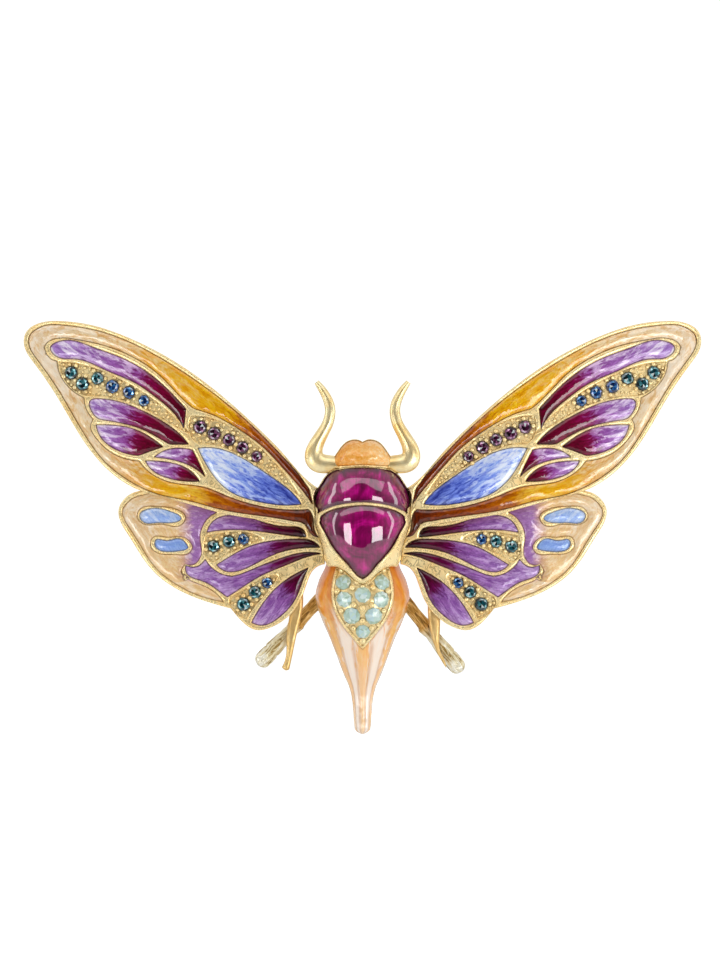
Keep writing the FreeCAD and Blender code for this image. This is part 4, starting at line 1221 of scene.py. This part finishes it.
PLATE_GRAINS = [
    (2.6, -7.9, 0.42), (3.25, -10.6, 0.4), (1.35, -10.15, 0.36), (0.75, -9.45, 0.32), (1.15, -12.35, 0.34),
    (0.0, -12.75, 0.4), (2.75, -13.1, 0.34), (0.0, -14.4, 0.36), (1.15, -15.4, 0.32), (0.0, -17.1, 0.4),
    (0.0, -9.95, 0.26), (1.95, -14.9, 0.26)
]


def abdomen():
    """The abdomen's enamel, and the rimmed plate of opals on it."""
    outline = resample(front_loops("abdomen_setting_plate")[0])
    growth = np.interp(outline[:, 1], [-16.5, -14, -10, -8], [0.05, 0.34, 0.16, 0.0])
    outline = swell(outline, growth[:, None])
    abdomen_skin(outline)
    surface = Turned(SETTING_RISE)
    shell = casting(surface, outline, [], [swell(outline, -0.42)], 0.5, 0.9, edge=0.2, sink=SETTING_SINK)
    place(shell, "abdomen_plate", "casting", "gilt_casting", "abdomen_setting_plate")
    floor = Turned(SETTING_RISE - SETTING_SINK)
    stones = Shell()
    grains = Shell()
    draw = random.Random(11)
    for x, z, radius in islands("opals"):
        centre, outward = normal_at(floor, x, z)
        opal(stones, centre, outward, min(radius, 1.1) * 1.05, draw)
    for x, z, radius in PLATE_GRAINS:
        for side in ((-1, 1) if x else (1,)):
            bead(grains, floor, side * x, z, 1.2 * radius, 0.6)
    place(stones, "opal_stones", "opal", "opal", "opals", sharp=8)
    place(grains, "abdomen_plate_grains", "casting", "gilt_casting")


def smooth_path(stations, count):
    """Even, smoothed points through stations whose columns are coordinates and sizes."""
    stations = np.array(stations, float)
    run = run_along(stations[:, :3])
    places = np.linspace(0, run[-1], count)
    return smoothed(np.column_stack([np.interp(places, run, column) for column in stations.T]), 10)


def sweep(shell, path, wide, deep, section, around):
    """A closed tube: rings of a section, wide across the path in the front view and deep along y."""
    middle = path[:, :3]
    ahead = np.gradient(middle, axis=0)
    ahead /= np.linalg.norm(ahead, axis=1)[:, None]
    across = np.cross(ahead, (0.0, 1.0, 0.0))
    across /= np.linalg.norm(across, axis=1)[:, None]
    outward = np.cross(across, ahead)
    angles = np.linspace(0, math.tau, around, endpoint=False)
    run = run_along(middle)
    points = []
    for i, centre in enumerate(middle):
        for angle in angles:
            reach = section(angle, i / (len(middle) - 1))
            points.append(centre + across[i] * wide[i] * reach * math.cos(angle)
                          + outward[i] * deep[i] * reach * math.sin(angle))
    rows = len(middle)
    points += [middle[0], middle[-1]]
    faces = tube_faces(rows, around) + [(rows * around, (c + 1) % around, c) for c in range(around)]
    last = (rows - 1) * around
    faces += [(rows * around + 1, last + c, last + (c + 1) % around) for c in range(around)]
    flow = np.append(np.repeat(run, around), (run[0], run[-1]))
    shell.add(np.array(points), faces, flow=flow, share=flow / run[-1],
              across=np.append(np.tile(np.cos(angles), rows), (0, 0)),
              edge=np.append(np.tile(np.sin(angles), rows), (0, 0)))


HORN_LINE = [
    (3.0, 6.0, 2.1), (4.3, 6.1, 2.3), (5.2, 6.1, 2.4), (5.9, 6.25, 2.6), (6.3, 6.65, 2.65),
    (6.45, 7.25, 2.4), (6.4, 7.9, 2.1), (6.15, 8.6, 1.9), (5.7, 9.4, 1.7), (5.2, 10.3, 1.55),
    (4.65, 11.2, 1.45), (4.3, 12.2, 1.38), (4.2, 13.3, 1.34), (4.4, 14.2, 1.28), (4.8, 15.1, 1.14),
    (5.35, 16.0, 0.98), (5.8, 16.6, 0.82), (6.05, 16.9, 0.66)
]


def horn_section(angle, share):
    """A rounded section with a ridge at its front."""
    return 1 + 0.05 * math.cos(2 * angle) + 0.06 * math.exp(-(math.sin(angle / 2 + math.pi / 4) / 0.2) ** 2)


def horns():
    for side_name, side in SIDES.items():
        middle = HORN_FRONT + HORN_DEPTH / 2
        path = smooth_path([(x, middle, z, width / 2) for x, z, width in HORN_LINE], 70)
        wide = path[:, 3]
        shell = Shell()
        sweep(shell, path, wide, np.minimum(wide, HORN_DEPTH / 2), horn_section, 28)
        name = f"{side_name}_antenna"
        place(shell, f"{name}_horn", "horn", "gilt_casting", name, side)


ROD_LEGS = {"left_hind_leg": ((-4.6, -10.7), (-13.2, -19.9)), "right_hind_leg": ((4.6, -10.8), (12.6, -20.7))}
# A hind leg's radius by distance along it: a rough shaft, a knot, then a flared foot with a notch.
ROD_SIZES = ([0, 2.0, 3.4, 4.6, 5.6, 6.0, 6.5, 7.2, 8.6, 10.2, 10.75, 10.95, 11.2, 12.0],
             [0.84, 0.9, 0.84, 0.88, 0.9, 1.06, 0.96, 0.84, 0.96, 1.12, 1.1, 0.97, 1.1, 1.12])


def leaf_legs():
    """The middle legs: leaves with rounded edges."""
    for side_name in SIDES:
        name = f"{side_name}_middle_leg"
        outline = resample(front_loops(name)[0])
        shell = casting(Arch(WING_BACK["hindwing"]), outline, [], [], 0.3, LEAF_LEG, edge=0.42)
        place(shell, f"{name}_leaf", "leaf", "gilt_casting", name)


def bark(angle, share):
    """Lengthwise grooves round a rod."""
    groove = noise.noise((math.cos(angle) * 2.6, math.sin(angle) * 2.6, share * 5))
    pit = noise.noise((math.cos(angle) * 1.5, math.sin(angle) * 1.5, share * 22))
    return 1 + 0.11 * groove + 0.05 * pit


def rod_legs():
    """The hind legs: rods with a knot and a flared foot, rounded off at the end."""
    for name, (start, end) in ROD_LEGS.items():
        first = np.array([start[0], ROD_AXIS, start[1]])
        last = np.array([end[0], ROD_AXIS, end[1]])
        length = np.linalg.norm(last - first)
        cap = length + np.sin(np.linspace(0.1, 1.5, 9))
        rows = np.concatenate([np.linspace(0, length, 110), cap])
        sizes = np.interp(rows, *ROD_SIZES) * np.sqrt(np.maximum(0.02, 1 - np.maximum(rows - length, 0) ** 2))
        path = first + (last - first) / length * rows[:, None]
        shell = Shell()
        sweep(shell, path, sizes, np.minimum(sizes, 1.02), bark, 30)
        place(shell, f"{name}_rod", "rod", "gilt_casting", name)


def findings():
    """The pin, its hinge and its catch keep their CAD shapes and get gilt finishes."""
    looks = {"pin_hinge_bracket": "findings", "pin_rivet": "findings", "pin_stem": "steel",
             "catch_ring": "findings", "catch_barrel": "steel", "abdomen_base": "casting"}
    for name, look in looks.items():
        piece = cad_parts[name]
        if not piece.material_slots:
            piece.data.materials.append(MATERIALS[look])
        for part in piece.material_slots:
            part.material = MATERIALS[look]


thorax()
head()
abdomen()
horns()
leaf_legs()
rod_legs()
findings()
for label, looks in CELL_LOOKS.items():
    Wing(label, looks).build()


def area_light(name, place_mm, aim, size, brightness):
    """A soft white box pointed at a place."""
    lamp = bpy.data.lights.new(name, "AREA")
    lamp.shape = "RECTANGLE"
    lamp.size, lamp.size_y = size[0] * MM, size[1] * MM
    lamp.energy = math.pi * lamp.size * lamp.size_y * brightness
    box = linked(name, lamp)
    box.location = Vector(place_mm) * MM
    box.rotation_euler = (Vector(aim) * MM - box.location).to_track_quat("-Z", "Y").to_euler()
    box.visible_diffuse = name not in CARDS


def studio():
    """White surroundings for the eye; for reflections, a pale sky over a darker front."""
    world = bpy.data.worlds.new("studio")
    bpy.context.scene.world = world
    world.use_nodes = True
    sky = Nodes(world.node_tree)
    split = sky.node("SeparateXYZ", {0: sky.node("TexCoord").outputs["Generated"]})

    def graded(source, stops):
        return sky.ramp(sky.node("MapRange", {"From Min": -1, "Value": source}).outputs[0], stops)

    height = graded(split.outputs[2], [(0.0, 0.6), (0.35, 0.7), (0.62, 1.0), (1.0, 1.3)])
    front = graded(split.outputs[1], [(0.0, 0.04), (0.13, 0.16), (0.45, 0.85), (1.0, 1.4)])
    both = sky.mix(1.0, height, front, "MULTIPLY")
    seen = sky.node("LightPath").outputs["Is Camera Ray"]
    background = sky.tree.nodes["Background"]
    sky.feed(background.inputs["Color"], sky.mix(seen, both, SURROUNDINGS))
    sky.feed(background.inputs["Strength"], 1.0)


def floor():
    data = bpy.data.meshes.new("floor")
    data.from_pydata(FLOOR_CORNERS, [], [(0, 1, 2, 3)])
    pale = Finish("pale_floor", Roughness=0.6, Base_Color=FLOOR_COLOUR)
    data.materials.append(pale.material)
    linked("floor", data)


def camera():
    lens = bpy.data.cameras.new("camera")
    lens.lens = LENS
    lens.sensor_width = SENSOR
    eye = linked("camera", lens)
    eye.location = EYE
    eye.rotation_euler = (math.radians(90), 0, 0)
    bpy.context.scene.camera = eye


studio()
floor()
camera()
bpy.context.scene.view_settings.view_transform = "Standard"
bpy.context.scene.view_settings.exposure = EXPOSURE
for name, (place_mm, aim, size, brightness) in LIGHTS.items():
    area_light(name, place_mm, aim, size, brightness)
